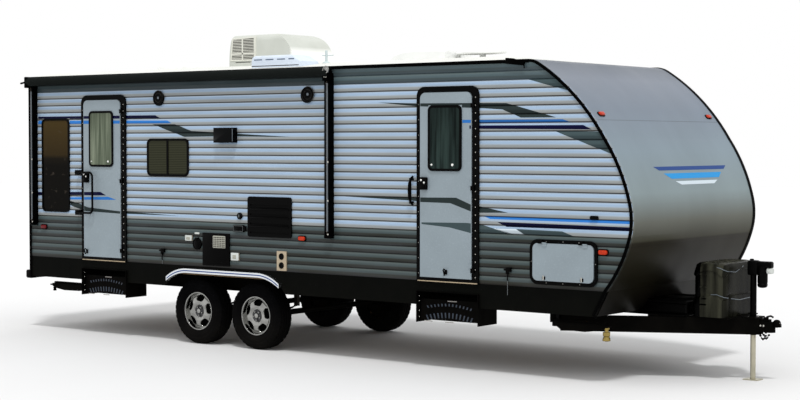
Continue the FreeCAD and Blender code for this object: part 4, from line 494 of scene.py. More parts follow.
class Shape:
    """Vertices and faces of one piece, gathered from several simple forms."""

    def __init__(self):
        self.verts, self.faces, self.slots = [], [], []
        self.slot = 0

    def add(self, verts, faces):
        start = len(self.verts)
        self.verts += [tuple(v) for v in verts]
        self.faces += [tuple(start + i for i in face) for face in faces]
        self.slots += [self.slot] * len(faces)
        return self

    def loft(self, loops, caps=True, wrap=False):
        """Skin between closed loops of equal count, capped at both ends or joined end to end."""
        count = len(loops[0])
        faces = []
        for row in range(len(loops) if wrap else len(loops) - 1):
            a, b = row * count, ((row + 1) % len(loops)) * count
            for i in range(count):
                j = (i + 1) % count
                faces.append((a + i, a + j, b + j, b + i))
        if caps and not wrap:
            faces.append(tuple(reversed(range(count))))
            faces.append(tuple(range((len(loops) - 1) * count, len(loops) * count)))
        return self.add([v for loop in loops for v in loop], faces)

    def box(self, low, high, chamfer=0.0015):
        """Box with chamfered edges."""
        c = min(chamfer, *[(b - a) * 0.3 for a, b in zip(low, high)])
        (x0, y0, z0), (x1, y1, z1) = low, high
        loops = []
        for z, inset in ((z0, c), (z0 + c, 0), (z1 - c, 0), (z1, c)):
            a, b, d, e = x0 + inset, x1 - inset, y0 + inset, y1 - inset
            loops.append(level([(a + c, d), (b - c, d), (b, d + c), (b, e - c), (b - c, e), (a + c, e),
                                (a, e - c), (a, d + c)], z))
        return self.loft(loops)

    def lathe(self, centre, axis, profile, count=32):
        """Turned form: profile holds (radius, distance along the axis)."""
        axis = Vector(axis).normalized()
        side = axis.orthogonal().normalized()
        up = axis.cross(side)
        return self.loft([circle(Vector(centre) + axis * d, side, up, r, count) for r, d in profile])

    def rod(self, start, end, radius):
        """Round bar with softened ends."""
        run = Vector(end) - Vector(start)
        soft = radius * 0.25
        return self.lathe(start, run, [(radius - soft, 0), (radius, soft), (radius, run.length - soft),
                                       (radius - soft, run.length)], 12)

    def disc(self, x, z, face, profile, count=28, side=-1):
        """Turned fitting on a side face: profile holds (radius, height above the face)."""
        return self.lathe((x, side * face, z), (0, side, 0), profile, count)

    def plate(self, outline, side, depth_low, depth_high, chamfer=0.002, wall=WALL):
        """Flat panel on a side wall: outline in X and Z, depths outward from the wall."""
        return self.loft([upright(outline, side * (wall + depth_low)),
                          upright(outline, side * (wall + depth_high - chamfer)),
                          upright(pulled(outline, chamfer * 1.3), side * (wall + depth_high))])

    def pads(self, places, chamfer=0.002, wall=WALL, side=-1):
        """Rounded plates: box in X and Z, corner radius, steps round a corner and two depths of each."""
        for x0, z0, x1, z1, radius, steps, low, high in places:
            self.plate(rounded(x0, z0, x1, z1, radius, steps), side, low, high, chamfer, wall)
        return self

    def ring(self, outer, inner, side, depth_low, depth_high, chamfer=0.0015, wall=WALL):
        """Frame between two outlines of equal count on a side wall."""
        middle = middle_of(outer)
        loops = []
        for points, depth, amount in ((outer, depth_low, 0), (outer, depth_high - chamfer, 0),
                                      (outer, depth_high, chamfer * 1.4), (inner, depth_high, -chamfer * 1.4),
                                      (inner, depth_high - chamfer, 0), (inner, depth_low, 0)):
            loops.append(upright(pulled(points, amount, middle), side * (wall + depth)))
        return self.loft(loops, wrap=True)

    def dome(self, centre, axis, radius, height, count=10):
        """Low round head, as of a screw or rivet."""
        return self.lathe(centre, axis, [(radius, 0), (radius * 0.92, height * 0.5),
                                         (radius * 0.6, height * 0.88), (radius * 0.15, height)], count)

    def tube(self, points, radius, count=10):
        """Round bar bent along points."""
        points = [Vector(p) for p in points]
        loops = []
        normal = (points[1] - points[0]).orthogonal().normalized()
        for i, p in enumerate(points):
            ahead = (points[min(i + 1, len(points) - 1)] - points[max(i - 1, 0)]).normalized()
            normal = (normal - ahead * normal.dot(ahead)).normalized()
            loops.append(circle(p, normal, ahead.cross(normal), radius, count))
        return self.loft(loops)

    def piece(self, name, materials, body="shell", smooth=40.0, replaces=(), slot=None):
        """Finished object riding on a body."""
        mesh = bpy.data.meshes.new(name)
        mesh.from_pydata(self.verts, [], self.faces)
        for material in materials if isinstance(materials, (list, tuple)) else [materials]:
            mesh.materials.append(material)
        mesh.polygons.foreach_set("material_index", self.slots)
        mesh.validate()
        mesh.update()
        item = bpy.data.objects.new(name, mesh)
        bpy.context.scene.collection.objects.link(item)
        if smooth:
            mesh.shade_smooth()
            mesh.set_sharp_from_angle(angle=math.radians(smooth))
        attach(item, body)
        if replaces:
            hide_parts(*replaces)
        return item


def rounded(x0, z0, x1, z1, radius, steps=6):
    """Outline of a rounded rectangle, counter-clockwise."""
    points = []
    for cx, cz, start in ((x1 - radius, z0 + radius, -90), (x1 - radius, z1 - radius, 0),
                          (x0 + radius, z1 - radius, 90), (x0 + radius, z0 + radius, 180)):
        for step in range(steps + 1):
            angle = math.radians(start + 90 * step / steps)
            points.append((cx + radius * math.cos(angle), cz + radius * math.sin(angle)))
    return points


# Stripes laid on the ribbed sheet and on the doors


def clip(points, axis, limit, keep_above):
    """Convex outline cut by a line across one axis."""
    out = []
    for i, p in enumerate(points):
        q = points[(i + 1) % len(points)]
        inside_p, inside_q = ((r[axis] - limit) * (1 if keep_above else -1) >= 0 for r in (p, q))
        if inside_p:
            out.append(p)
        if inside_p != inside_q:
            share = (limit - p[axis]) / (q[axis] - p[axis])
            out.append((p[0] + (q[0] - p[0]) * share, p[1] + (q[1] - p[1]) * share))
    return out


def within(points, x0, x1, z0, z1):
    for axis, limit, above in ((0, x0, True), (0, x1, False), (1, z0, True), (1, z1, False)):
        points = clip(points, axis, limit, above)
        if len(points) < 3:
            return []
    return points


def triangles(outline):
    flat = [Vector((x, z, 0)) for x, z in outline]
    return [[outline[i] for i in tri] for tri in tessellate_polygon([flat])]


RIB_COUNT = 27


def rib_bands():
    """Heights between which the sheet is plane, with its depth inward at each."""
    bands = []
    for row in range(RIB_COUNT):
        foot = RIB_FOOT + RIB_PITCH * row
        if row:
            bands.append((foot, foot + RIB_LIP, RIB_DEPTH, 0.0))
        bands.append((foot + (RIB_LIP if row else 0), foot + RIB_FLAT, 0.0, 0.0))
        bands.append((foot + RIB_FLAT, foot + RIB_PITCH, 0.0, RIB_DEPTH))
    return bands


BANDS = rib_bands()
# How far films stand off the wall sheet and off the nose skin
LIFT, NOSE_LIFT = 0.0007, 0.0012
FAR = 9
REAR_DOOR, FRONT_DOOR = (at(972), at(1580)), (at(5802), at(6410))
DOOR_HEIGHTS, LEAF_HEIGHTS, LEAF_GAP = (0.895, 2.681), (0.9, 2.676), 0.004
DOOR_PANE_HEIGHTS, PANE_INSET, PANE_WIDTH = (1.924, 2.558), 0.101, 0.398
# Frames on the door side that the films stop at: both doors, exit window, small window, baggage door
HOLES = [(*REAR_DOOR, *DOOR_HEIGHTS), (*FRONT_DOOR, *DOOR_HEIGHTS), (at(229), at(710), 1.391, 2.479),
         (at(1995), at(2640), 1.829, 2.243), (at(7104), at(7757), 0.925, 1.271)]
LEAVES = {"rear_door": REAR_DOOR, "front_door": FRONT_DOOR}


def outside(outline, holes):
    """Parts of a convex outline that lie clear of the upright rectangles."""
    parts = [outline] if outline else []
    for x0, x1, z0, z1 in holes:
        rest = []
        for part in parts:
            for box in ((-FAR, x0, -FAR, FAR), (x1, FAR, -FAR, FAR), (x0, x1, -FAR, z0), (x0, x1, z1, FAR)):
                kept = within(part, *box)
                if kept:
                    rest.append(kept)
        parts = rest
    return parts


def stripe(name, outline, material):
    """A film stripe on the siding, and its run across the doors on pieces of their own."""
    shape = Shape()
    for tri in triangles(outline):
        for z0, z1, d0, d1 in BANDS:
            for part in outside(within(tri, -FAR, FAR, z0, z1), HOLES):
                shape.add([(x, -(WALL - d0 - (d1 - d0) * (z - z0) / (z1 - z0) + LIFT), z) for x, z in part],
                          [tuple(range(len(part)))])
    if shape.faces:
        shape.piece(name, material, smooth=0, slot="siding")
    for door, (x0, x1) in LEAVES.items():
        run = Shape()
        pane = (x0 + PANE_INSET, x0 + PANE_INSET + PANE_WIDTH, *DOOR_PANE_HEIGHTS)
        for tri in triangles(outline):
            for part in outside(within(tri, x0 + LEAF_GAP, x1 - LEAF_GAP, *LEAF_HEIGHTS), [pane]):
                run.add(upright(part, -(LEAF + LIFT)), [tuple(range(len(part)))])
        if run.faces:
            run.piece(f"{name}_on_{door}", material, door, smooth=0, slot="door_skin")


STRIPES = [
    ("navy_line_rear_top", NAVY, [(-4.287, 2.504), (-2.331, 2.502), (-2.243, 2.465), (-4.292, 2.477)]),
    ("blue_line_rear_top", BLUE, [(-4.293, 2.456), (-2.144, 2.442), (-2.074, 2.411), (-4.293, 2.416)]),
    ("swoosh_rear_top", CHARCOAL, [(-2.373, 2.402), (-2.025, 2.400), (-1.772, 2.325), (-1.446, 2.311),
                                   (-1.094, 2.293), (-0.333, 2.257), (-1.094, 2.265), (-1.446, 2.266),
                                   (-1.883, 2.262)]),
    ("navy_line_rear_low", NAVY, [(-4.303, 1.616), (-3.198, 1.638), (-3.105, 1.600), (-4.304, 1.583)]),
    ("blue_line_rear_low", BLUE, [(-3.741, 1.565), (-3.070, 1.585), (-2.936, 1.553), (-3.742, 1.540)]),
    ("swoosh_rear_low", CHARCOAL, [(-3.742, 1.525), (-3.605, 1.499), (-3.401, 1.457), (-2.863, 1.424),
                                   (-1.972, 1.397), (-2.863, 1.398), (-3.486, 1.415), (-3.674, 1.457),
                                   (-3.742, 1.478)]),
    ("swoosh_front_top", CHARCOAL, [(0.815, 2.596), (1.294, 2.580), (2.033, 2.573), (2.343, 2.568),
                                    (2.892, 2.430), (2.505, 2.431), (2.300, 2.509), (2.033, 2.526),
                                    (1.294, 2.552)]),
    ("blue_line_front_top", BLUE, [(1.856, 2.415), (2.964, 2.412), (3.052, 2.384), (1.856, 2.386)]),
    ("navy_line_front_top", NAVY, [(1.939, 2.361), (3.180, 2.358), (3.272, 2.318), (1.939, 2.330)]),
    ("slate_field_front", SLATE, [(2.860, 2.310), (3.365, 2.296), (3.470, 2.099)]),
    ("slate_wedge_top", SLATE, [(2.575, 2.786), (2.915, 2.786), (3.010, 2.675)]),
    ("swoosh_front_mid", CHARCOAL, [(0.369, 1.656), (1.242, 1.664), (1.783, 1.672), (1.966, 1.606),
                                    (2.366, 1.542), (2.035, 1.534), (1.966, 1.542), (1.715, 1.618),
                                    (1.359, 1.622), (1.242, 1.632)]),
    ("blue_line_front_low", BLUE, [(2.073, 1.506), (3.672, 1.502), (3.672, 1.474), (2.160, 1.478)]),
    ("navy_line_front_low", NAVY, [(2.245, 1.452), (3.672, 1.444), (3.672, 1.409), (2.345, 1.409)]),
    ("pale_notch", WHITE_FILM, [(2.205, 1.388), (2.453, 1.392), (2.549, 1.342), (2.377, 1.342)]),
    ("slate_step", SLATE, [(2.453, 1.392), (2.961, 1.386), (3.111, 1.336), (2.549, 1.342)]),
    ("swoosh_front_low", SLATE, [(1.371, 1.424), (1.895, 1.434), (2.035, 1.427), (2.205, 1.388),
                                 (2.420, 1.337), (1.965, 1.337), (1.707, 1.385), (1.371, 1.408)]),
    ("pale_edge_low", WHITE_FILM, [(2.205, 1.396), (2.215, 1.389), (2.430, 1.342), (2.405, 1.342)]),
]
for stripe_name, paint, points in STRIPES:
    stripe(stripe_name, points, paint)


def nose_stripe(name, y0, y1, y2, y3, top_z, foot_z, material, steps=14):
    """Film stripe laid on the curved front skin by rays, from its corners in Y and two heights."""
    skin = NODES["front_wall"]
    grid = []
    for i in range(steps + 1):
        share = i / steps
        for y, z in ((y0 + (y1 - y0) * share, top_z), (y3 + (y2 - y3) * share, foot_z)):
            _, spot, normal, _ = skin.ray_cast(Vector((6, y, z)), Vector((-1, 0, 0)))
            grid.append(spot + normal * NOSE_LIFT)
    shape = Shape().add(grid, [(i * 2, i * 2 + 1, i * 2 + 3, i * 2 + 2) for i in range(steps)])
    shape.piece(name, material, smooth=30, slot="nose_skin")


nose_stripe("nose_line_navy", -0.63, 0.83, 0.76, -0.54, 1.975, 1.940, DEEP_BLUE)
nose_stripe("nose_line_sky", -0.48, 0.68, 0.60, -0.36, 1.912, 1.862, SKY)
nose_stripe("nose_line_white", -0.30, 0.55, 0.46, -0.20, 1.838, 1.805, WHITE_FILM)


# Wheels and tyres


def between(points, value):
    """Straight-line reading of a table of pairs."""
    for (a, low_value), (b, high_value) in zip(points, points[1:]):
        if value <= b:
            return low_value + (high_value - low_value) * (value - a) / (b - a)
    return points[-1][1]


def eased(a, b, value):
    share = min(max((value - a) / (b - a), 0.0), 1.0)
    return share * share * (3 - 2 * share)


FIFTH = 2 * math.pi / 5
WINDOW_TURN, NUT_TURN = math.radians(85), math.radians(49)


def window_share(radius, angle):
    """One in the middle of a spoke window, nought on the spokes."""
    turn = (angle - WINDOW_TURN + FIFTH / 2) % FIFTH - FIFTH / 2
    across = turn * radius / (0.046 + 0.38 * (radius - 0.118))
    along = (radius - 0.143) / 0.036
    return 1.0 - eased(0.80, 1.0, (abs(across) ** 2.6 + abs(along) ** 2.6) ** (1 / 2.6))


WHEELS = {"rear_near": (-1.761, -1), "front_near": (-0.909, -1), "rear_far": (-1.761, 1),
          "front_far": (-0.909, 1)}
AXLE, TRACK, NUT_CIRCLE, NUT_SEAT = 0.358, 1.0475, 0.046, 0.064
# Radius and outward depth along the wheel's hub, its spokes and its rim, and along half of the tyre
HUB_FACE = [(0.003, 0.0905), (0.012, 0.0900), (0.020, 0.0885), (0.025, 0.0850), (0.028, 0.0720),
            (0.034, 0.0670), (0.045, 0.0660), (0.058, 0.0665), (0.066, 0.0700), (0.073, 0.0770)]
DISH = [(0.073, 0.0770), (0.100, 0.0810), (0.130, 0.0770), (0.155, 0.0680), (0.170, 0.0560), (0.180, 0.0490),
        (0.184, 0.0495)]
LIP = [(0.186, 0.058), (0.189, 0.070), (0.192, 0.083), (0.196, 0.0915), (0.201, 0.0938), (0.2065, 0.0925),
       (0.2095, 0.088), (0.2098, 0.081), (0.1930, 0.079), (0.189, 0.050), (0.187, 0.0), (0.189, -0.055),
       (0.1930, -0.075), (0.2095, -0.077), (0.2095, -0.083), (0.200, -0.083), (0.183, -0.066), (0.180, 0.0),
       (0.168, 0.012), (0.090, 0.020), (0.030, 0.022)]
TYRE_SIDE = [(0.1940, 0.0785), (0.2005, 0.0835), (0.2130, 0.0860), (0.2160, 0.0925), (0.2190, 0.0930),
             (0.2350, 0.1055), (0.2600, 0.1118), (0.2750, 0.1125), (0.2780, 0.1112), (0.2950, 0.1112),
             (0.3010, 0.1124), (0.3050, 0.1108), (0.3200, 0.1065), (0.3340, 0.1010), (0.3440, 0.0945),
             (0.3500, 0.0880), (0.3535, 0.0790), (0.3470, 0.0770), (0.3470, 0.0700), (0.3550, 0.0680),
             (0.3572, 0.0430), (0.3500, 0.0410), (0.3500, 0.0340), (0.3578, 0.0320), (0.3580, 0.0110),
             (0.3505, 0.0090)]


def rim(name, x, side, count=150):
    """Chromed wheel: five wide spokes with rounded windows between them, a hub cup and nuts."""
    shape = Shape()
    rows = [(r, d, False) for r, d in HUB_FACE]
    rows += [(0.078 + 0.0035 * i, None, True) for i in range(31)]
    rows += [(r, d, False) for r, d in LIP]
    loops, shares = [], []
    for radius, depth, dished in rows:
        loop, line = [], []
        for angle in around(count):
            share = window_share(radius, angle) if dished else 0.0
            stand = depth
            if dished:
                swell = math.cos(5 * (angle - WINDOW_TURN - FIFTH / 2))
                ridge = 0.004 * swell * (1 if radius < 0.165 else 0.3)
                stand = between(DISH, radius) + ridge - 0.046 * share
            loop.append((x + radius * math.cos(angle), side * (TRACK + stand),
                         AXLE + radius * math.sin(angle)))
            line.append(share)
        loops.append(loop)
        shares.append(line)
    shape.loft(loops)
    for index in range((len(rows) - 1) * count):
        row, i = divmod(index, count)
        if max(shares[row][i], shares[row + 1][(i + 1) % count]) > 0.35:
            shape.slots[index] = 1
        elif 0.026 < rows[row][0] < 0.066 and row < len(HUB_FACE):
            shape.slots[index] = 2
    for nut in range(5):
        angle = NUT_TURN + FIFTH * nut
        shape.disc(x + NUT_CIRCLE * math.cos(angle), AXLE + NUT_CIRCLE * math.sin(angle), TRACK + NUT_SEAT,
                   [(0.0095, 0), (0.0095, 0.012), (0.007, 0.018), (0.003, 0.020)], 6, side)
    shape.piece(f"rim_{name}", [CHROME, DARK, HUB_CUP], f"wheel_set_{name}", 32,
                [f"wheel_{name}"], "wheel_bright")


def tyre(name, x, side, count=160):
    """Road tyre with grooves, shoulder lugs and raised side rings."""
    shape = Shape()
    rows = TYRE_SIDE + [(r, -d) for r, d in reversed(TYRE_SIDE)]
    loops = []
    for radius, depth in rows:
        loop = []
        for i, angle in enumerate(around(count)):
            lug = i % 4 == 0 and 0.330 < radius < 0.3565 and abs(depth) > 0.066
            r = radius - (0.0045 if lug else 0.0)
            d = depth * (0.975 if lug else 1.0)
            loop.append((x + r * math.cos(angle), side * (TRACK + d), AXLE + r * math.sin(angle)))
        loops.append(loop)
    shape.loft(loops, wrap=True)
    shape.piece(f"road_tyre_{name}", RUBBER, f"wheel_set_{name}", 30, [f"tyre_{name}"], "tyre_rubber")


for wheel, (wheel_x, wheel_side) in WHEELS.items():
    rim(wheel, wheel_x, wheel_side)
    tyre(wheel, wheel_x, wheel_side)


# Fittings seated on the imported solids


def surface(node, start, direction):
    """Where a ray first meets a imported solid, and the normal there."""
    found, spot, normal, _ = NODES[node].ray_cast(Vector(start), Vector(direction))
    return (spot, normal) if found else (Vector(start), -Vector(direction))


def depth_at(node, x, z, side=-1):
    """How far a side fitting's face stands out from the middle plane."""
    spot, _ = surface(node, (x, side * 3.0, z), (0, -side, 0))
    return abs(spot.y) if abs(spot.y) < 2 else WALL


def fender_lines():
    """Blue inlay along the middle of each bright arch moulding."""
    shape = Shape()
    rear, front, steps = -2.118, -0.482, 60
    back, face, drop, half_width = 1.2655, 1.2668, 0.023, 0.0065
    for side in (-1, 1):
        tops = []
        for i in range(steps + 1):
            x = rear + (front - rear) * i / steps
            spot, _ = surface("fender_trims", (x, side * 1.262, 1.2), (0, 0, -1))
            tops.append((x, spot.z))
        loops = []
        for i, (x, z) in enumerate(tops):
            a, b = tops[max(i - 1, 0)], tops[min(i + 1, steps)]
            lean = math.hypot(1, (b[1] - a[1]) / (b[0] - a[0]))
            middle, half = z - drop * lean, half_width * lean
            loops.append([(x, side * back, middle - half), (x, side * face, middle - half * 0.8),
                          (x, side * face, middle + half * 0.8), (x, side * back, middle + half)])
        shape.loft(loops)
    shape.piece("fender_inlays", DEEP_BLUE, slot="fender_metal")


COOLER_SIDE = 0.350


def cooler_grilles():
    """Slatted grille in a pale frame on each side of the roof cooler."""
    shape = Shape()
    frame_line = [(-2.006, 3.122), (-1.628, 3.116), (-1.628, 3.386), (-1.978, 3.376)]
    mouth = [(-1.988, 3.140), (-1.646, 3.134), (-1.648, 3.370), (-1.964, 3.362)]
    slats, foot, pitch, slat, front = 13, 3.146, 0.0172, 0.0070, -1.648
    upright_bar, cross_bar = bar(-1.829, 3.136, -1.812, 3.366), bar(-1.985, 3.192, -1.648, 3.209)
    front_edge, drain = bar(-1.628, 3.116, -1.612, 3.388), bar(-1.93, 3.100, -1.70, 3.108)
    for side in (-1, 1):
        shape.slot = 0
        shape.ring(frame_line, mouth, side, -0.004, 0.006, wall=COOLER_SIDE)
        for i in range(slats):
            z = foot + pitch * i
            lead = mouth[0][0] + (z - mouth[0][1]) * 0.108
            shape.plate(bar(lead, z, front, z + slat), side, 0.0005, 0.0050, 0.001, COOLER_SIDE)
        for outline in (upright_bar, cross_bar):
            shape.plate(outline, side, 0.0005, 0.0062, wall=COOLER_SIDE)
        shape.plate(front_edge, side, -0.004, 0.0030, wall=COOLER_SIDE)
        shape.slot = 1
        for outline in (mouth, drain):
            shape.plate(outline, side, -0.002, 0.0010, 0.0003, COOLER_SIDE)
    shape.piece("cooler_grilles", [SLAT, GRILLE_DARK], smooth=30, slot="cooler_shell")


def crown(y):
    """Height of the crowned roof sheet across the body."""
    return 2.973 + 0.096 * (1 - (y / WALL) ** 2)


CAP_NEAR, CAP_FAR = 1.080, 0.780
ARCH_BASE = 3.062
# Places along the arched vent cover with its rise, and places across it with their share of the rise
ARCH_RISE = ((0.220, 0.020), (0.226, 0.036), (0.250, 0.060), (0.290, 0.083), (0.340, 0.102), (0.400, 0.114),
             (0.460, 0.119), (0.514, 0.121), (0.640, 0.120), (0.780, 0.117), (0.890, 0.112), (0.910, 0.106),
             (0.918, 0.090))
ARCH_ACROSS = ((-0.240, 0), (-0.240, 0.72), (-0.222, 0.92), (-0.170, 1), (0.170, 1), (0.222, 0.92),
               (0.240, 0.72), (0.240, 0))


def roof_fittings():
    """Refrigerator cap, arched vent cover, hatch, folded aerial and pipe on the roof."""
    shape = Shape()

    def stack(*tiers, radius=0.015):
        """Loft of rounded tiers: box in X and Y, then the height. The first follows the roof sheet."""
        first, *rest = tiers
        foot = [(x, y, crown(y) - 0.004) for x, y in rounded(*first, radius, 3)]
        shape.loft([foot] + [level(rounded(*tier, radius, 3), z) for *tier, z in rest])

    shape.slot = 0
    stack((-1.020, -CAP_NEAR, -0.322, -CAP_FAR), (-1.020, -CAP_NEAR, -0.330, -CAP_FAR, 3.050),
          (-1.012, -CAP_NEAR, -0.405, -CAP_FAR, 3.090), (-1.000, -1.074, -0.425, -0.786, 3.106),
          (-0.982, -1.060, -0.445, -0.800, 3.118))
    shape.slot = 1
    shape.loft([[(x, y, ARCH_BASE + rise * share) for y, share in ARCH_ACROSS] for x, rise in ARCH_RISE])
    stack((-3.350, -0.200, -2.950, 0.200), (-3.350, -0.200, -2.950, 0.200, 3.100),
          (-3.340, -0.190, -2.960, 0.190, 3.118), (-3.300, -0.150, -3.000, 0.150, 3.128), radius=0.02)
    wing = [(0.930, -0.060), (1.120, -0.180), (1.300, -0.172), (1.530, -0.085), (1.530, -0.010),
            (1.300, 0.084), (1.120, 0.090), (0.930, -0.030)]
    thin = pulled(wing, 0.012, Vector((1.23, -0.045)))
    shape.loft([level(thin, 3.110), level(wing, 3.116), level(wing, 3.132), level(thin, 3.142)])
    shape.lathe((1.26, -0.045, 3.055), (0, 0, 1), [(0.060, 0), (0.060, 0.008), (0.034, 0.016),
                                                   (0.030, 0.058)], 24)
    shape.box((0.896, -0.017, 3.109), (1.076, 0.017, 3.150), 0.008)
    shape.rod((0.940, -0.010, 3.055), (0.940, -0.010, 3.115), 0.014)
    shape.slot = 2
    pipe_x, pipe_y, tee = -0.368, -0.610, 3.124
    shape.rod((pipe_x, pipe_y, crown(pipe_y) - 0.01), (pipe_x, pipe_y, 3.178), 0.014)
    shape.lathe((pipe_x, pipe_y, crown(pipe_y) - 0.004), (0, 0, 1),
                [(0.045, 0), (0.040, 0.008), (0.018, 0.022)], 18)
    shape.rod((-0.425, pipe_y, tee), (-0.272, pipe_y, tee), 0.006)
    shape.slot = 3
    for start, end in ((-0.975, -0.862), (-0.812, -0.700), (-0.650, -0.538), (-0.490, -0.412)):
        for side, wall in ((-1, CAP_NEAR), (1, -CAP_FAR)):
            shape.plate(bar(start, 3.069, end, 3.080), side, -0.001, 0.0012, 0.0004, wall)
    shape.slot = 4
    shape.plate(bar(-1.010, 3.004, -0.350, 3.012), -1, -0.001, 0.0012, 0.0004, CAP_NEAR)
    shape.piece("roof_fittings", [CAP_SHADED_WHITE, TOP_WHITE, PIPE_GREY, SLOT_BLUE, SLOT_BROWN], smooth=35,
                replaces=["roof_vents"], slot="vent_white")


def gutter_ends():
    """Spout at the front end of each roof gutter."""
    shape = Shape()
    spout = [(2.341, 2.935), (2.545, 2.912), (2.556, 2.950), (2.420, 2.984), (2.350, 2.990)]
    for side in (-1, 1):
        shape.plate(spout, side, 0.002, 0.029, 0.004)
        shape.rod((2.549, side * 1.238, 2.925), (2.556, side * 1.238, 2.888), 0.006)
    shape.piece("gutter_ends", TRIM, slot="edge_moulding")


# Inner edge of each awning arm, and the face that its screws sit on
ARMS = (0.178, -4.367)
ARM_FACE = -1.290
OUT = (0, -1, 0)


def awning_hardware():
    """End caps, brackets, rails and rivets of the stowed awning."""
    shape = Shape()
    y, z = -1.298, 2.912
    shape.slot = 0
    shape.lathe((0.172, y, z), (1, 0, 0), [(0.030, 0), (0.0515, 0.002), (0.0515, 0.060), (0.046, 0.072),
                                           (0.020, 0.074)], 28)
    shape.box((0.176, -1.330, 2.820), (0.246, -1.222, 2.905), 0.006)
    shape.box((-4.392, -1.347, 2.840), (-4.352, -1.226, 2.970), 0.006)
    shape.rod((-4.380, -1.300, 2.915), (-4.505, -1.300, 2.896), 0.011)
    for arm in ARMS:
        for edge in (arm, arm + 0.054):
            shape.box((edge, y, 1.236), (edge + 0.012, -1.288, 2.856), 0.003)
        shape.box((arm - 0.004, -1.300, 1.228), (arm + 0.070, -1.222, 1.262), 0.004)
    shape.slot = 1
    shape.lathe((0.146, y, z), (1, 0, 0), [(0.030, 0), (0.0510, 0.0), (0.0518, 0.006), (0.0518, 0.020),
                                           (0.046, 0.026), (0.020, 0.027)], 28)
    for x, face, height in ((0.205, -1.345, 2.928), (0.226, -1.345, 2.916), (0.208, -1.330, 2.860),
                            (0.232, -1.330, 2.858)):
        shape.dome((x, face, height), OUT, 0.006, 0.004)
    for arm in ARMS:
        for height in (2.003, 1.610, 1.268):
            shape.dome((arm + 0.045, ARM_FACE, height), OUT, 0.0115, 0.006)
        for step in range(19):
            shape.dome((arm + 0.024, ARM_FACE, 1.30 + 0.083 * step), OUT, 0.0032, 0.002, 6)
    # Thin brown strip down the channel of each arm: a painted highlight
    shape.slot = 2
    for arm in ARMS:
        shape.box((arm + 0.029, -1.2925, 1.262), (arm + 0.034, -1.2895, 2.850), 0.0005)
    shape.piece("awning_hardware", [TRIM, BOLT, CHANNEL_HIGHLIGHT], slot="awning_metal")


def screws():
    """Screw heads around the door and hatch frames, and the pale sills under the doors."""
    shape = Shape()
    # Door frame edge, height at which its face is read, number of screws, lowest, pitch, radius, height
    for x, reading, count, foot, pitch, radius, tall in ((2.004, 1.4, 24, 0.915, 0.0745, 0.0056, 0.003),
                                                         (-2.826, 1.4, 24, 0.915, 0.0745, 0.0056, 0.003),
                                                         (1.328, 1.25, 12, 0.930, 0.149, 0.0035, 0.002),
                                                         (-3.502, 1.25, 12, 0.930, 0.149, 0.0035, 0.002)):
        face = depth_at("door_frames", x, reading)
        for step in range(count):
            shape.dome((x, -face, foot + pitch * step), OUT, radius, tall, 8)
    hatch_sides = [(x, 1.1) for x in (2.636, 3.325)]
    hatch_rows = [(x, z) for z in (1.289, 0.907) for x in (2.80, 2.98, 3.16)]
    for side in (-1, 1):
        for x, z in hatch_sides + hatch_rows:
            shape.dome((x, side * depth_at("door_frames", x, z, side), z), (0, side, 0), 0.0035, 0.002, 8)
    shape.slot = 1
    for x0, x1 in ((1.318, 2.026), (-3.512, -2.804)):
        face = depth_at("door_frames", (x0 + x1) / 2, 0.872)
        shape.box((x0, -face - 0.006, 0.852), (x1, -face + 0.004, 0.862), 0.002)
    shape.piece("frame_screws_and_sills", [BOLT, SILL], slot="frame_black")


def door_fittings(body, latch_x, dots, hook_x):
    """Key cylinders, paddle, window catches and the hold-back hook of one entry door."""
    shape = Shape()
    face, pane_face, dot_z = 1.2745, 1.254, 1.985
    shape.pads([(latch_x - 0.002, 1.742, latch_x + 0.080, 1.864, 0.016, 4, -0.030, 0.0015),
                (latch_x + 0.012, 1.752, latch_x + 0.068, 1.796, 0.012, 4, 0.0, 0.009)], wall=face)
    shape.pads([(hook_x - 0.016, 0.930, hook_x + 0.016, 0.975, 0.008, 4, 0.0, 0.008)], wall=LEAF)
    shape.tube([(hook_x, -1.250, 0.968), (hook_x - 0.010, -1.268, 0.985), (hook_x - 0.004, -1.286, 0.975),
                (hook_x + 0.006, -1.286, 0.945), (hook_x + 0.002, -1.272, 0.925),
                (hook_x - 0.012, -1.262, 0.925)], 0.0065, 8)
    shape.slot = 1
    shape.disc(latch_x + 0.022, 1.836, face, [(0.010, 0), (0.010, 0.004), (0.006, 0.006)], 16)
    shape.disc(latch_x + 0.058, 1.812, face, [(0.009, 0), (0.009, 0.004), (0.005, 0.006)], 16)
    for x, radius in dots:
        shape.disc(x, dot_z, pane_face, [(radius, 0), (radius, 0.006), (radius * 0.6, 0.010)], 16)
    shape.piece(f"{body}_fittings", [PLASTIC, BRIGHT_DOT], body, slot="fitting_black")


def hatch_fittings():
    """Two catches at the foot of each baggage door."""
    for side, word in ((-1, "near"), (1, "far")):
        shape = Shape()
        for x in (2.779, 3.187):
            face = depth_at(f"baggage_door_{word}", x, 0.965, side)
            shape.slot = 0
            shape.pads([(x - 0.017, 0.936, x + 0.017, 0.966, 0.006, 3, 0.0, 0.007)], wall=face, side=side)
            shape.slot = 1
            shape.pads([(x - 0.006, 0.930, x + 0.006, 0.975, 0.004, 3, 0.004, 0.013)], wall=face, side=side)
        shape.piece(f"baggage_{word}_catches", [PLASTIC, BOLT], f"baggage_{word}", slot="fitting_black")


HOLD_BACKS = (-2.221, 2.366)
PORCH_LAMP = (-1.370, 2.203, -1.118, 2.352)
VENT_SLATS = (1.514, 1.424, 1.333)


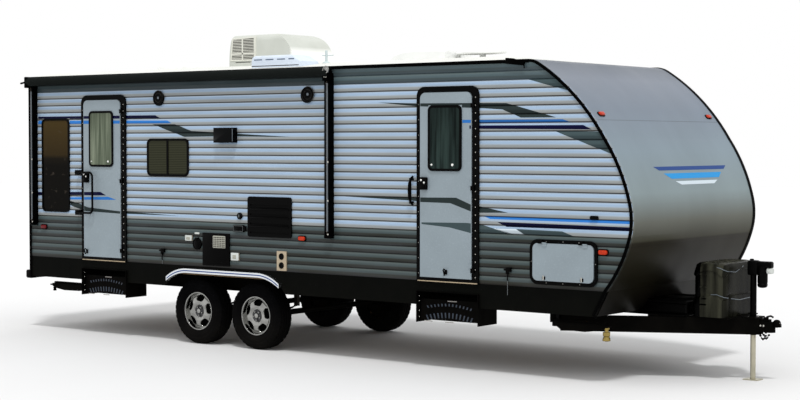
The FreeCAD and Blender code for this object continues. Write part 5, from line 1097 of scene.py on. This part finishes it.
def black_hardware():
    """Speaker rings, porch lamp face, door hold-backs, locks and inlets on the door side."""
    shape = Shape()
    rings = [(0.0805, -0.02), (0.0805, 0.003), (0.074, 0.007), (0.064, 0.003), (0.058, 0.001), (0.052, 0.004),
             (0.044, 0.001), (0.036, 0.004), (0.028, 0.001), (0.020, 0.004), (0.010, 0.002)]
    for x in (-2.266, -0.106):
        shape.disc(x, 2.685, depth_at("wall_fittings", x, 2.685) - 0.001, rings, 36)
    shape.slot = 1
    shape.pads([(*PORCH_LAMP, 0.014, 4, 0.066, 0.074)])
    shape.slot = 0
    for x in HOLD_BACKS:
        shape.pads([(x - 0.030, 1.000, x + 0.030, 1.018, 0.008, 4, 0.020, 0.032),
                    (x - 0.012, 0.968, x + 0.012, 1.030, 0.006, 4, 0.0, 0.024)])
        shape.tube([(x, -1.226, 0.968), (x + 0.004, -1.236, 0.935), (x, -1.228, 0.905)], 0.006, 8)
    shape.disc(-1.056, 1.420, 1.219, [(0.036, 0), (0.036, 0.012), (0.030, 0.018), (0.012, 0.019)], 26)
    shape.pads([(-1.137, 1.250, -0.990, 1.324, 0.010, 4, -0.004, 0.022),
                (-0.984, 1.262, -0.963, 1.316, 0.008, 4, -0.004, 0.018)])
    shape.pads([(3.258, 1.500, 3.348, 1.538, 0.018, 6, -0.004, 0.016)], 0.006)
    shape.disc(-1.683, 1.101, 1.219, [(0.064, 0), (0.064, 0.016), (0.056, 0.022), (0.048, 0.014),
                                      (0.044, 0.020), (0.030, 0.026), (0.010, 0.027)], 32)
    shape.pads([(-1.706, 1.145, -1.660, 1.170, 0.008, 4, -0.002, 0.026),
                (-4.322, 2.001, -4.302, 2.035, 0.006, 3, 0.0, 0.02),
                (-4.364, 1.607, -4.346, 1.633, 0.006, 3, 0.0, 0.02)])
    for z in (0.921, 1.014):
        shape.disc(-0.458, z, 1.233, [(0.034, 0), (0.034, 0.005), (0.028, 0.008), (0.022, 0.003),
                                      (0.012, 0.001)], 24)
    for z in VENT_SLATS:
        shape.slot = 2
        shape.pads([(-0.900, z - 0.009, -0.358, z + 0.009, 0.006, 3, 0.010, 0.0148)])
        shape.slot = 0
        shape.pads([(-0.905, z - 0.021, -0.353, z - 0.009, 0.005, 3, 0.010, 0.021)])
    shape.pads([(-1.590, 0.884, -1.212, 1.218, 0.02, 4, 0.010, 0.0165)])
    shape.piece("wall_hardware", [PLASTIC, GLOSS_BLACK, DARK], slot="fitting_black")


def pale_hardware():
    """Heater grille, pale inlet lids, and the straps of the door hold-backs."""
    shape = Shape()
    shape.pads([(-1.441, 1.068, -1.257, 1.199, 0.008, 4, 0.014, 0.0185)])
    shape.slot = 1
    for i in range(7):
        for j in range(6):
            x, z = -1.430 + 0.0245 * i, 1.076 + 0.0198 * j
            shape.plate(bar(x, z, x + 0.0175, z + 0.0125), -1, 0.017, 0.0188, 0.0003)
    shape.slot = 2
    shape.pads([(-1.858, 1.131, -1.759, 1.191, 0.008, 4, 0.010, 0.020),
                (-1.720, 1.206, -1.652, 1.226, 0.006, 4, 0.0, 0.012),
                (-1.174, 0.944, -1.067, 1.026, 0.008, 4, 0.010, 0.020)])
    shape.slot = 3
    shape.pads([(-1.838, 1.142, -1.782, 1.172, 0.006, 4, 0.018, 0.0215),
                (-1.150, 0.960, -1.096, 1.004, 0.006, 4, 0.018, 0.0215)])
    # Grey strip on the porch lamp's end: a painted highlight along its rounded edge
    shape.slot = 4
    shape.plate(bar(-1.101, 2.210, -1.094, 2.345), -1, 0.050, 0.0722)
    shape.slot = 5
    for x, foot in zip(HOLD_BACKS, (0.862, 0.770)):
        shape.tube([(x, -1.228, 0.905), (x + 0.002, -1.230, (0.905 + foot) / 2), (x, -1.226, foot)], 0.0028,
                   6)
    shape.plate(bar(-1.062, 1.405, -1.050, 1.436), -1, 0.017, 0.0205, 0.0005)
    shape.ring(rounded(-1.131, 1.256, -0.996, 1.318, 0.008, 4),
               rounded(-1.127, 1.260, -1.000, 1.314, 0.006, 4), -1, 0.020, 0.0228, 0.0004)
    shape.piece("pale_hardware", [GRILLE_PALE, GRILLE_DARK, PALE, GRILLE_PALE, GREY_TRIM_AND_HIGHLIGHT, STRAP],
                slot="inlet_tan")


SIDE_LAMPS, SIDE_LAMP_REAR, SIDE_LAMP_HEIGHT = (-0.182, 3.398), -4.194, 1.211


def marker_lamps():
    """Moulded marker and tail lamps on dark pads."""
    pads, amber, red = Shape(), Shape(), Shape()

    def mould(target, spot, normal, right, size, radius, steps, tiers):
        """Stacked outline on a face: half width and height, then (height, scale) of each tier."""
        up = normal.cross(right)
        outline = rounded(-size[0], -size[1], size[0], size[1], radius, steps)
        target.loft([[spot + normal * d + right * u * s + up * v * s for u, v in outline] for d, s in tiers])

    for target, x in [(amber, x) for x in SIDE_LAMPS] + [(red, SIDE_LAMP_REAR)]:
        for side in (-1, 1):
            place = Vector((x, side * WALL, SIDE_LAMP_HEIGHT)), Vector((0, side, 0)), Vector((1, 0, 0))
            mould(pads, *place, (0.056, 0.030), 0.024, 5, ((-0.003, 1.0), (0.007, 1.0), (0.010, 0.93)))
            mould(target, *place, (0.047, 0.021), 0.018, 5,
                  ((0.006, 1.0), (0.017, 0.98), (0.022, 0.88), (0.0245, 0.6)))
    for y in (-0.98, 0.98):
        place = Vector((REAR, y, 1.135)), Vector((-1, 0, 0)), Vector((0, 1, 0))
        mould(pads, *place, (0.066, 0.087), 0.016, 4, ((-0.003, 1.0), (0.007, 1.0), (0.010, 0.96)))
        mould(red, *place, (0.056, 0.075), 0.014, 4,
              ((0.006, 1.0), (0.018, 0.99), (0.0235, 0.93), (0.024, 0.6)))
    for y in (-1.05, 1.05):
        spot, normal = surface("front_wall", (6, y, 2.456), (-1, 0, 0))
        place = spot, normal, (Vector((0, 1, 0)) - normal * normal.y).normalized()
        mould(pads, *place, (0.056, 0.026), 0.022, 4, ((-0.004, 1.0), (0.006, 1.0), (0.009, 0.93)))
        mould(amber, *place, (0.046, 0.019), 0.016, 4,
              ((0.005, 1.0), (0.016, 0.97), (0.021, 0.85), (0.023, 0.5)))
    pads.piece("lamp_pads", GASKET, slot="fitting_black")
    amber.piece("amber_lamps", AMBER, smooth=50, replaces=["amber_markers"], slot="amber_lens")
    red.piece("red_lenses", RED, smooth=50, replaces=["red_lamps"], slot="red_lens")


def brake_plates():
    """Brake backing plate on the inner side of every wheel."""
    profile = [(0.040, 0.0), (0.120, 0.0), (0.128, 0.006), (0.172, 0.006), (0.184, 0.010), (0.184, 0.022),
               (0.172, 0.026), (0.040, 0.026)]
    for name, (x, side) in WHEELS.items():
        shape = Shape().lathe((x, side * 0.972, AXLE), (0, side, 0), profile, 48)
        shape.piece(f"brake_plate_{name}", STEEL, f"wheel_set_{name}", slot="black_steel")


def battery_box():
    """Covered battery tray between the nose and the gas cover, on a deck sheet across the rails."""
    shape = Shape()
    for x0, x1, half, z0, z1, chamfer in ((2.760, 3.780, 0.420, 0.589, 0.600, 0.003),
                                          (3.260, 3.765, 0.335, 0.598, 0.705, 0.014),
                                          (3.250, 3.775, 0.345, 0.690, 0.728, 0.012)):
        shape.box((x0, -half, z0), (x1, half, z1), chamfer)
    for y in (-0.17, 0.17):
        shape.tube([(3.246, y, 0.602), (3.246, y, 0.731), (3.780, y, 0.731), (3.780, y, 0.602)], 0.006, 8)
    # Dark upright plate between the front stabilizer leg and the frame: a dark piece standing in for shade in
    # the gap
    shape.box((2.655, -0.905, 0.470), (2.735, -0.862, 0.700), 0.003)
    shape.piece("battery_box", PLASTIC, slot="fitting_black")


def grab_handle():
    """Bowed grab handle beside the front door."""
    middle = 1.730
    half = [(1.262, -1.238, 0.140), (1.252, -1.262, 0.118), (1.244, -1.278, 0.070)]
    line = [(x, y, middle - z) for x, y, z in half] + [(1.241, -1.281, middle)]
    line += [(x, y, middle + z) for x, y, z in reversed(half)]
    Shape().tube(line, 0.0105, 12).piece("grab_handle", PLASTIC, smooth=50, slot="fitting_black")


def speaker_faces():
    """Ringed grille, cone and glint on each outside speaker."""
    shape = Shape()
    for x in (-2.266, -0.093):
        spot, _ = surface("wall_fittings", (x, -2.0, 2.693), (0, 1, 0))
        shape.slot = 0
        for radius in (0.078, 0.050):
            shape.lathe(spot, OUT, [(radius - 0.004, 0.0), (radius, 0.003), (radius + 0.004, 0.0)])
        shape.slot = 1
        shape.dome(spot, OUT, 0.016, 0.006, 16)
    shape.piece("speaker_faces", [GRILLE_DARK, GREY_TRIM_AND_HIGHLIGHT], smooth=50, slot="fitting_black")


def arm_faces():
    """Grey sliding rail along the front of each awning arm, and the bright end cap of the roller."""
    shape = Shape()
    for x in (-4.334, 0.211):
        shape.box((x - 0.011, -1.2915, 1.300), (x + 0.011, -1.2890, 2.800), 0.0006)
        for i in range(6):
            shape.dome((x, -1.2912, 1.36 + 0.27 * i), OUT, 0.007, 0.002)
    shape.slot = 1
    shape.lathe((0.239, -1.3415, 2.933), OUT, [(0.040, 0.0), (0.038, 0.005), (0.030, 0.005), (0.028, 0.001),
                                               (0.014, 0.001), (0.010, 0.006), (0.003, 0.007)], 28)
    shape.piece("arm_rails", [GREY_TRIM_AND_HIGHLIGHT, CHROME], slot="awning_metal")


NOSE_CENTRE = Vector((2.35, 0, 1.62))
# Places across the edge strip: height above the sheet, and Y
EDGE_SECTION = ((0.0006, 1.180), (0.0060, 1.182), (0.0080, 1.205), (0.0060, 1.231), (0.0006, 1.232))


def nose_edge():
    """Black strip over the off-side edge of the nose, where wall and nose skin meet."""
    line, steps = [], 90
    for i in range(steps + 1):
        angle = math.radians(-38 + 124 * i / steps)
        out = Vector((math.cos(angle), 0, math.sin(angle)))
        spot, _ = surface("side_wall_off_side", NOSE_CENTRE + Vector((0, 1.2, 0)) + out * 4, -out)
        if abs(spot.x) < 3.75 and 0.85 < spot.z < 2.98:
            line.append(Vector((spot.x, 0, spot.z)))
    loops = []
    for i, p in enumerate(line):
        ahead = (line[min(i + 1, len(line) - 1)] - line[max(i - 1, 0)]).normalized()
        out = Vector((ahead.z, 0, -ahead.x))
        if out.dot(p - NOSE_CENTRE) < 0:
            out = -out
        loops.append([p + out * rise + Vector((0, y, 0)) for rise, y in EDGE_SECTION])
    Shape().loft(loops).piece("nose_edge", TRIM, slot="edge_moulding")


def bumper_caps():
    """Plastic caps plugged on both ends of the bumper tube."""
    shape = Shape()
    for side in (-1, 1):
        shape.loft([upright(rounded(-4.554 + inset, 0.589 + inset, -4.456 - inset, 0.687 - inset, 0.014, 3),
                            side * y)
                    for y, inset in ((1.118, 0.0), (1.190, 0.0), (1.202, 0.006), (1.206, 0.016))])
    shape.piece("bumper_caps", PLASTIC, slot="black_steel")


COVER_REAR, COVER_FRONT, COVER_HALF, COVER_CORNER = 3.817, 4.157, 0.340, 0.055
# Height, inset and depth of the corner notches of each row of the gas cover
COVER_ROWS = [(0.590, 0.004, 0), (0.600, 0.0, 0), (0.770, 0.0, 0.040), (0.786, 0.002, 0.040),
              (0.792, 0.014, 0.040), (0.806, 0.018, 0.040), (0.830, 0.012, 0.040), (0.930, 0.012, 0.02),
              (1.018, 0.013, 0.055), (1.026, 0.004, 0.055), (1.040, 0.003, 0.055), (1.062, 0.010, 0.045),
              (1.080, 0.022, 0.01), (1.090, 0.045, 0), (1.0945, 0.085, 0)]
COVER_FOLD_HIGHLIGHTS = [[(4.069, -0.325, 1.053), (4.109, -0.321, 1.043), (4.137, -0.318, 1.030),
                (4.152, -0.275, 1.017), (4.146, -0.100, 1.000), (4.152, 0.049, 1.050)],
               [(4.010, -0.326, 0.799), (4.071, -0.326, 0.802), (4.142, -0.324, 0.780),
                (4.158, -0.174, 0.757), (4.158, -0.030, 0.740), (4.158, 0.175, 0.748)]]


def cover_outline(steps=8):
    """Outline of the gas cover with points spread evenly along its sides and round its corners."""
    x0, x1, half, corner = COVER_REAR, COVER_FRONT, COVER_HALF, COVER_CORNER
    points = []
    for (ax, ay), (bx, by), start in (((x1, -half + corner), (x1, half - corner), 0),
                                      ((x1 - corner, half), (x0 + corner, half), 90),
                                      ((x0, half - corner), (x0, -half + corner), 180),
                                      ((x0 + corner, -half), (x1 - corner, -half), 270)):
        points += [(ax + (bx - ax) * i / steps, ay + (by - ay) * i / steps) for i in range(steps + 1)]
        cx = x1 - corner if start in (0, 270) else x0 + corner
        cy = half - corner if start in (0, 90) else -half + corner
        for i in range(1, steps):
            angle = math.radians(start + 90 * i / steps)
            points.append((cx + corner * math.cos(angle), cy + corner * math.sin(angle)))
    return points


def inward(value, low, high, amount):
    """Step of a point near one end of a range towards its middle."""
    zone = COVER_CORNER * 1.2
    return amount if value < low + zone else -amount if value > high - zone else 0


def gas_shell():
    """Moulded bottle cover with a waisted seam, notched hood and short ribs, and bright lines along its folds
    that are painted highlights.
    """
    flat = cover_outline()
    corners = [(x, y) for x in (COVER_REAR, COVER_FRONT) for y in (-COVER_HALF, COVER_HALF)]
    near = [math.exp(-(min(math.hypot(x - a, y - b) for a, b in corners) / 0.085) ** 2) for x, y in flat]
    shape = Shape()
    loops = []
    for z, inset, notch in COVER_ROWS:
        loops.append([(x + inward(x, COVER_REAR, COVER_FRONT, inset),
                       y + inward(y, -COVER_HALF, COVER_HALF, inset), z - notch * share * 1.1) for (x, y),
                       share in zip(flat, near)])
    shape.loft(loops)
    for side in (-1, 1):
        shape.pads([(3.900, z - 0.008, 3.975, z + 0.008, 0.006, 3, -0.022, 0.003)
                    for z in (0.985, 0.866, 0.760, 0.705)], 0.003, COVER_HALF - 0.003, side)
    # Grey tubes along the folds: painted highlights
    shape.slot = 1
    for line in COVER_FOLD_HIGHLIGHTS:
        shape.tube(line, 0.0035, 8)
    shape.piece("bottle_cover", [COVER, GREY_TRIM_AND_HIGHLIGHT], smooth=28, replaces=["gas_cover"], slot="gas_cover_black")


JACK_X = 4.28
JACK_TUBE = ((0.0285, 0.418), (0.0295, 0.422), (0.0295, 1.018), (0.033, 1.020), (0.033, 1.048),
             (0.0262, 1.048), (0.0262, 0.418))
JACK_COLLAR = ((0.0296, 0.560), (0.040, 0.560), (0.040, 0.590), (0.0296, 0.594))


def jack_head():
    """Powered jack: tube, mounting plate, gear head, motor can and lamp."""
    shape = Shape()

    def block(x0, half, x1, radius, tiers):
        shape.loft([level(rounded(x0 + c, -half + c, x1 - c, half - c, radius, 4), z) for z, c in tiers])

    for rows in (JACK_TUBE, JACK_COLLAR):
        loops = [[(JACK_X + r * math.cos(a), r * math.sin(a), z) for a in around(28)] for r, z in rows]
        shape.loft(loops, wrap=True)
    plate = rounded(-0.047, -0.053, 0.060, 0.053, 0.015, 3)
    shape.loft([[(JACK_X + x * share, y * share, z) for x, y in plate]
                for share, z in ((1.0, 0.572), (1.0, 0.584), (0.66, 0.584), (0.66, 0.572))], wrap=True)
    block(4.234, 0.046, 4.334, 0.016, ((0.975, 0.006), (0.985, 0.0), (1.095, 0.0), (1.106, 0.006),
                                       (1.111, 0.016)))
    block(4.300, 0.036, 4.468, 0.014, ((1.046, 0.003), (1.052, 0.0), (1.094, 0.0), (1.104, 0.008)))
    motor = [(0.046, 0), (0.0475, 0.01), (0.0475, 0.150), (0.0445, 0.154), (0.0445, 0.162), (0.0475, 0.166),
             (0.046, 0.184), (0.036, 0.196), (0.015, 0.201)]
    shape.lathe((4.370, 0, 1.060), (0, 0, -1), motor)
    shape.lathe((4.262, 0, 1.108), (0, 0, 1), [(0.020, 0), (0.020, 0.010), (0.014, 0.016)], 18)
    shape.slot = 1
    shape.box((4.420, -0.034, 0.992), (4.472, 0.034, 1.044), 0.008)
    shape.lathe((4.446, -0.034, 1.020), OUT, [(0.014, 0), (0.012, 0.004), (0.004, 0.006)], 16)
    shape.slot = 2
    for x, y in ((4.246, -0.040), (4.246, 0.040), (4.328, 0.0)):
        shape.lathe((x, y, 0.584), (0, 0, 1), [(0.009, 0), (0.009, 0.006), (0.006, 0.008)], 6)
    shape.piece("powered_jack", [PLASTIC, PALE, BOLT], smooth=35, replaces=["jack_housing"],
                slot="jack_black")


def hitch_details():
    """Latch, ball socket, chains and bolts at the coupler, and a small bright dome on the coupler head that
    is a painted glint.
    """
    shape = Shape()
    shape.lathe((4.515, 0, 0.500), (0, 0, 1), [(0.012, 0), (0.030, 0.008), (0.0385, 0.030), (0.036, 0.052),
                                               (0.024, 0.068), (0.008, 0.074)], 28)
    shape.tube([(4.395, 0, 0.570), (4.420, 0, 0.594), (4.455, 0, 0.604), (4.480, 0, 0.592)], 0.009, 10)
    shape.box((4.385, -0.014, 0.560), (4.430, 0.014, 0.590), 0.004)
    links, link = 6, [(0.010, -0.004), (0.0125, 0.0), (0.010, 0.004), (0.006, 0.0)]
    for y in (-0.034, 0.034):
        for i in range(links + 1):
            across, down = math.cos(math.pi * i / links), math.sin(math.pi * i / links)
            shape.lathe((4.395 + 0.030 * across, y, 0.452 - 0.062 * down),
                        (down, 0.6 * (-1) ** i, -across * 0.5), link, 10)
    shape.slot = 1
    # Painted glint: small bright dome on the coupler head, facing up and forward
    shape.dome((4.545, -0.012, 0.545), (0.4, -0.6, 0.6), 0.007, 0.003, 8)
    for x in (4.375, 4.405):
        for side in (-1, 1):
            shape.disc(x, 0.515, 0.045, [(0.010, 0), (0.010, 0.006), (0.006, 0.008)], 6, side)
    shape.piece("hitch_details", [STEEL, BOLT], slot="black_steel")


TREAD_FACE, BOLT_FACE = 1.198, -1.210
# Height of the foot of a row of grip slots, and the length of a slot
GRIP_ROWS = ((0.475, 0.052), (0.590, 0.026))


def step_details(word, x0):
    """Perforated grip fan on a folded tread, with a painted highlight along its top bar and two small pale
    labels, and bolts on the arms of the upper tread.
    """
    middle, slots, half = x0 + 0.368, 13, 0.008
    shape = Shape()
    for foot, tall in GRIP_ROWS:
        for i in range(slots):
            share = i / (slots - 1) - 0.5
            x, z = middle + share * 0.50, foot + 0.028 * math.cos(share * math.pi)
            dx, dz = math.sin(share * 0.9) * tall, math.cos(share * 0.9) * tall
            shape.plate([(x - half, z), (x + half, z), (x + half + dx, z + dz), (x - half + dx, z + dz)], -1,
                        -0.001, 0.003, 0.001, TREAD_FACE)
    # Pale strips: a painted highlight on the top bar, and two small labels lower down
    shape.slot = 1
    shape.pads([(middle + a, z, middle + b, z + 0.008, 0.003, 2, -0.001, 0.0025) for a, b, z in
                ((-0.02, 0.09, 0.664), (-0.30, -0.20, 0.460), (-0.05, 0.05, 0.460))], 0.001, TREAD_FACE)
    shape.piece(f"{word}_grip", [GREY_STEP, PALE_LABEL_AND_HIGHLIGHT], f"{word}_lower", slot="step_black")
    bolts = Shape()
    for x, radius, heights in ((x0 + 0.0133, 0.0068, (0.705, 0.655, 0.560, 0.500)),
                               (x0 + 0.7227, 0.0062, (0.700, 0.520))):
        for z in heights:
            bolts.dome((x, BOLT_FACE, z), OUT, radius, 0.004, 8)
    bolts.piece(f"{word}_bolts", BOLT, f"{word}_upper", slot="bright_steel")


# Foot of a stabilizer's jack screw, and the ends of its leg in front and behind
SCREW_FOOT = ((0.028, 0), (0.028, 0.016), (0.017, 0.019), (0.017, 0.040), (0.034, 0.043), (0.034, 0.078),
              (0.026, 0.084), (0.036, 0.104), (0.038, 0.122), (0.020, 0.128))
LEGS = (("front", 3.322, 2.80, 1.0, BRASS), ("rear", -4.237, -3.72, 0.55, STEEL))
MOULDING_END = ((3.438, 1.226, 0.850), (3.424, 1.230, 0.805), (3.404, 1.230, 0.765), (3.376, 1.230, 0.735),
                (3.345, 1.230, 0.700), (3.318, 1.230, 0.655), (3.312, 1.230, 0.630), (3.330, 1.230, 0.615))


def corner_details():
    """Bent ends of the edge moulding at the foot of the nose, and jack screws on the stabilizers."""
    shape = Shape()
    for side in (-1, 1):
        shape.tube([(x, side * y, z) for x, y, z in MOULDING_END], 0.010, 8)
    shape.piece("moulding_ends", TRIM, slot="edge_moulding")
    for word, tip, root, size, paint in LEGS:
        for hand, y in (("near", -1.03), ("far", 1.03)):
            body = f"stabilizer_{word}_{hand}"
            foot = Shape().lathe((tip, y, 0.512), (0, 0, -1), [(r * size, d * size) for r, d in SCREW_FOOT],
                                 16)
            foot.piece(f"stabilizer_foot_{word}_{hand}", paint, body, slot="bright_steel")
            arm = Shape().loft([[(root + (tip - root) * share, y + dy, z) for dy, z in
                                 ((-0.040, 0.535), (0.040, 0.535), (0.036, 0.511 - drop),
                                  (-0.036, 0.511 - drop))]
                                for share, drop in ((0.02, 0.020), (0.10, 0.048), (0.60, 0.052),
                                                    (0.85, 0.034), (1.0, 0.010))])
            arm.piece(f"stabilizer_channel_{word}_{hand}", STEEL, body, slot="black_steel")


fender_lines()
cooler_grilles()
roof_fittings()
gutter_ends()
awning_hardware()
screws()
door_fittings("front_door", 1.366, ((1.500, 0.010), (1.748, 0.013)), 1.665)
door_fittings("rear_door", -3.464, ((-3.330, 0.006), (-3.056, 0.012)), -3.425)
hatch_fittings()
black_hardware()
pale_hardware()
marker_lamps()
nose_edge()
bumper_caps()
brake_plates()
battery_box()
grab_handle()
speaker_faces()
arm_faces()
gas_shell()
jack_head()
hitch_details()
step_details("front_step", 1.304)
step_details("rear_step", -3.526)
corner_details()


# Stage, light and camera


def add(item):
    bpy.context.scene.collection.objects.link(item)
    return item


def aimed(direction):
    return Vector(direction).to_track_quat("-Z", "Y").to_euler()


def floor_stage(half=60):
    """Plain pale floor."""
    mesh = bpy.data.meshes.new("studio_floor")
    mesh.from_pydata(level([(-half, -half), (half, -half), (half, half), (-half, half)], 0), [],
                     [(0, 1, 2, 3)])
    finish = Finish("pale_floor", specular=0.0)
    finish.rough(0.85, 0.05, 1.0)
    mesh.materials.append(finish.base(finish.mix(finish.noise(0.6, 4.0), "DCDCDC", "E0E0E0")))
    add(bpy.data.objects.new("studio_floor", mesh))


def studio_light():
    """White surroundings, and a weak broad lamp overhead for a soft shadow."""
    scene = bpy.context.scene
    scene.world = bpy.data.worlds.new("studio_world")
    scene.world.use_nodes = True
    backdrop = scene.world.node_tree.nodes["Background"]
    backdrop.inputs["Color"].default_value = (1.0, 1.0, 1.0, 1.0)
    backdrop.inputs["Strength"].default_value = 1.0
    scene.view_settings.view_transform = "Standard"
    overhead = bpy.data.lights.new("overhead_light", "SUN")
    overhead.energy = 1.4
    overhead.angle = math.radians(7)
    add(bpy.data.objects.new("overhead_light", overhead)).rotation_euler = aimed((-0.28, 0.33, -0.90))


def photo_camera():
    """Camera at the photo's viewing angle."""
    view = bpy.data.cameras.new("photo_camera")
    view.lens = 75.04
    view.sensor_width = 36.0
    view.clip_end = 200.0
    camera = add(bpy.data.objects.new("photo_camera", view))
    camera.location = (11.084, -14.202, 2.196)
    camera.rotation_euler = aimed((-0.60972, 0.79188, -0.03424))
    bpy.context.scene.camera = camera


floor_stage()
studio_light()
photo_camera()
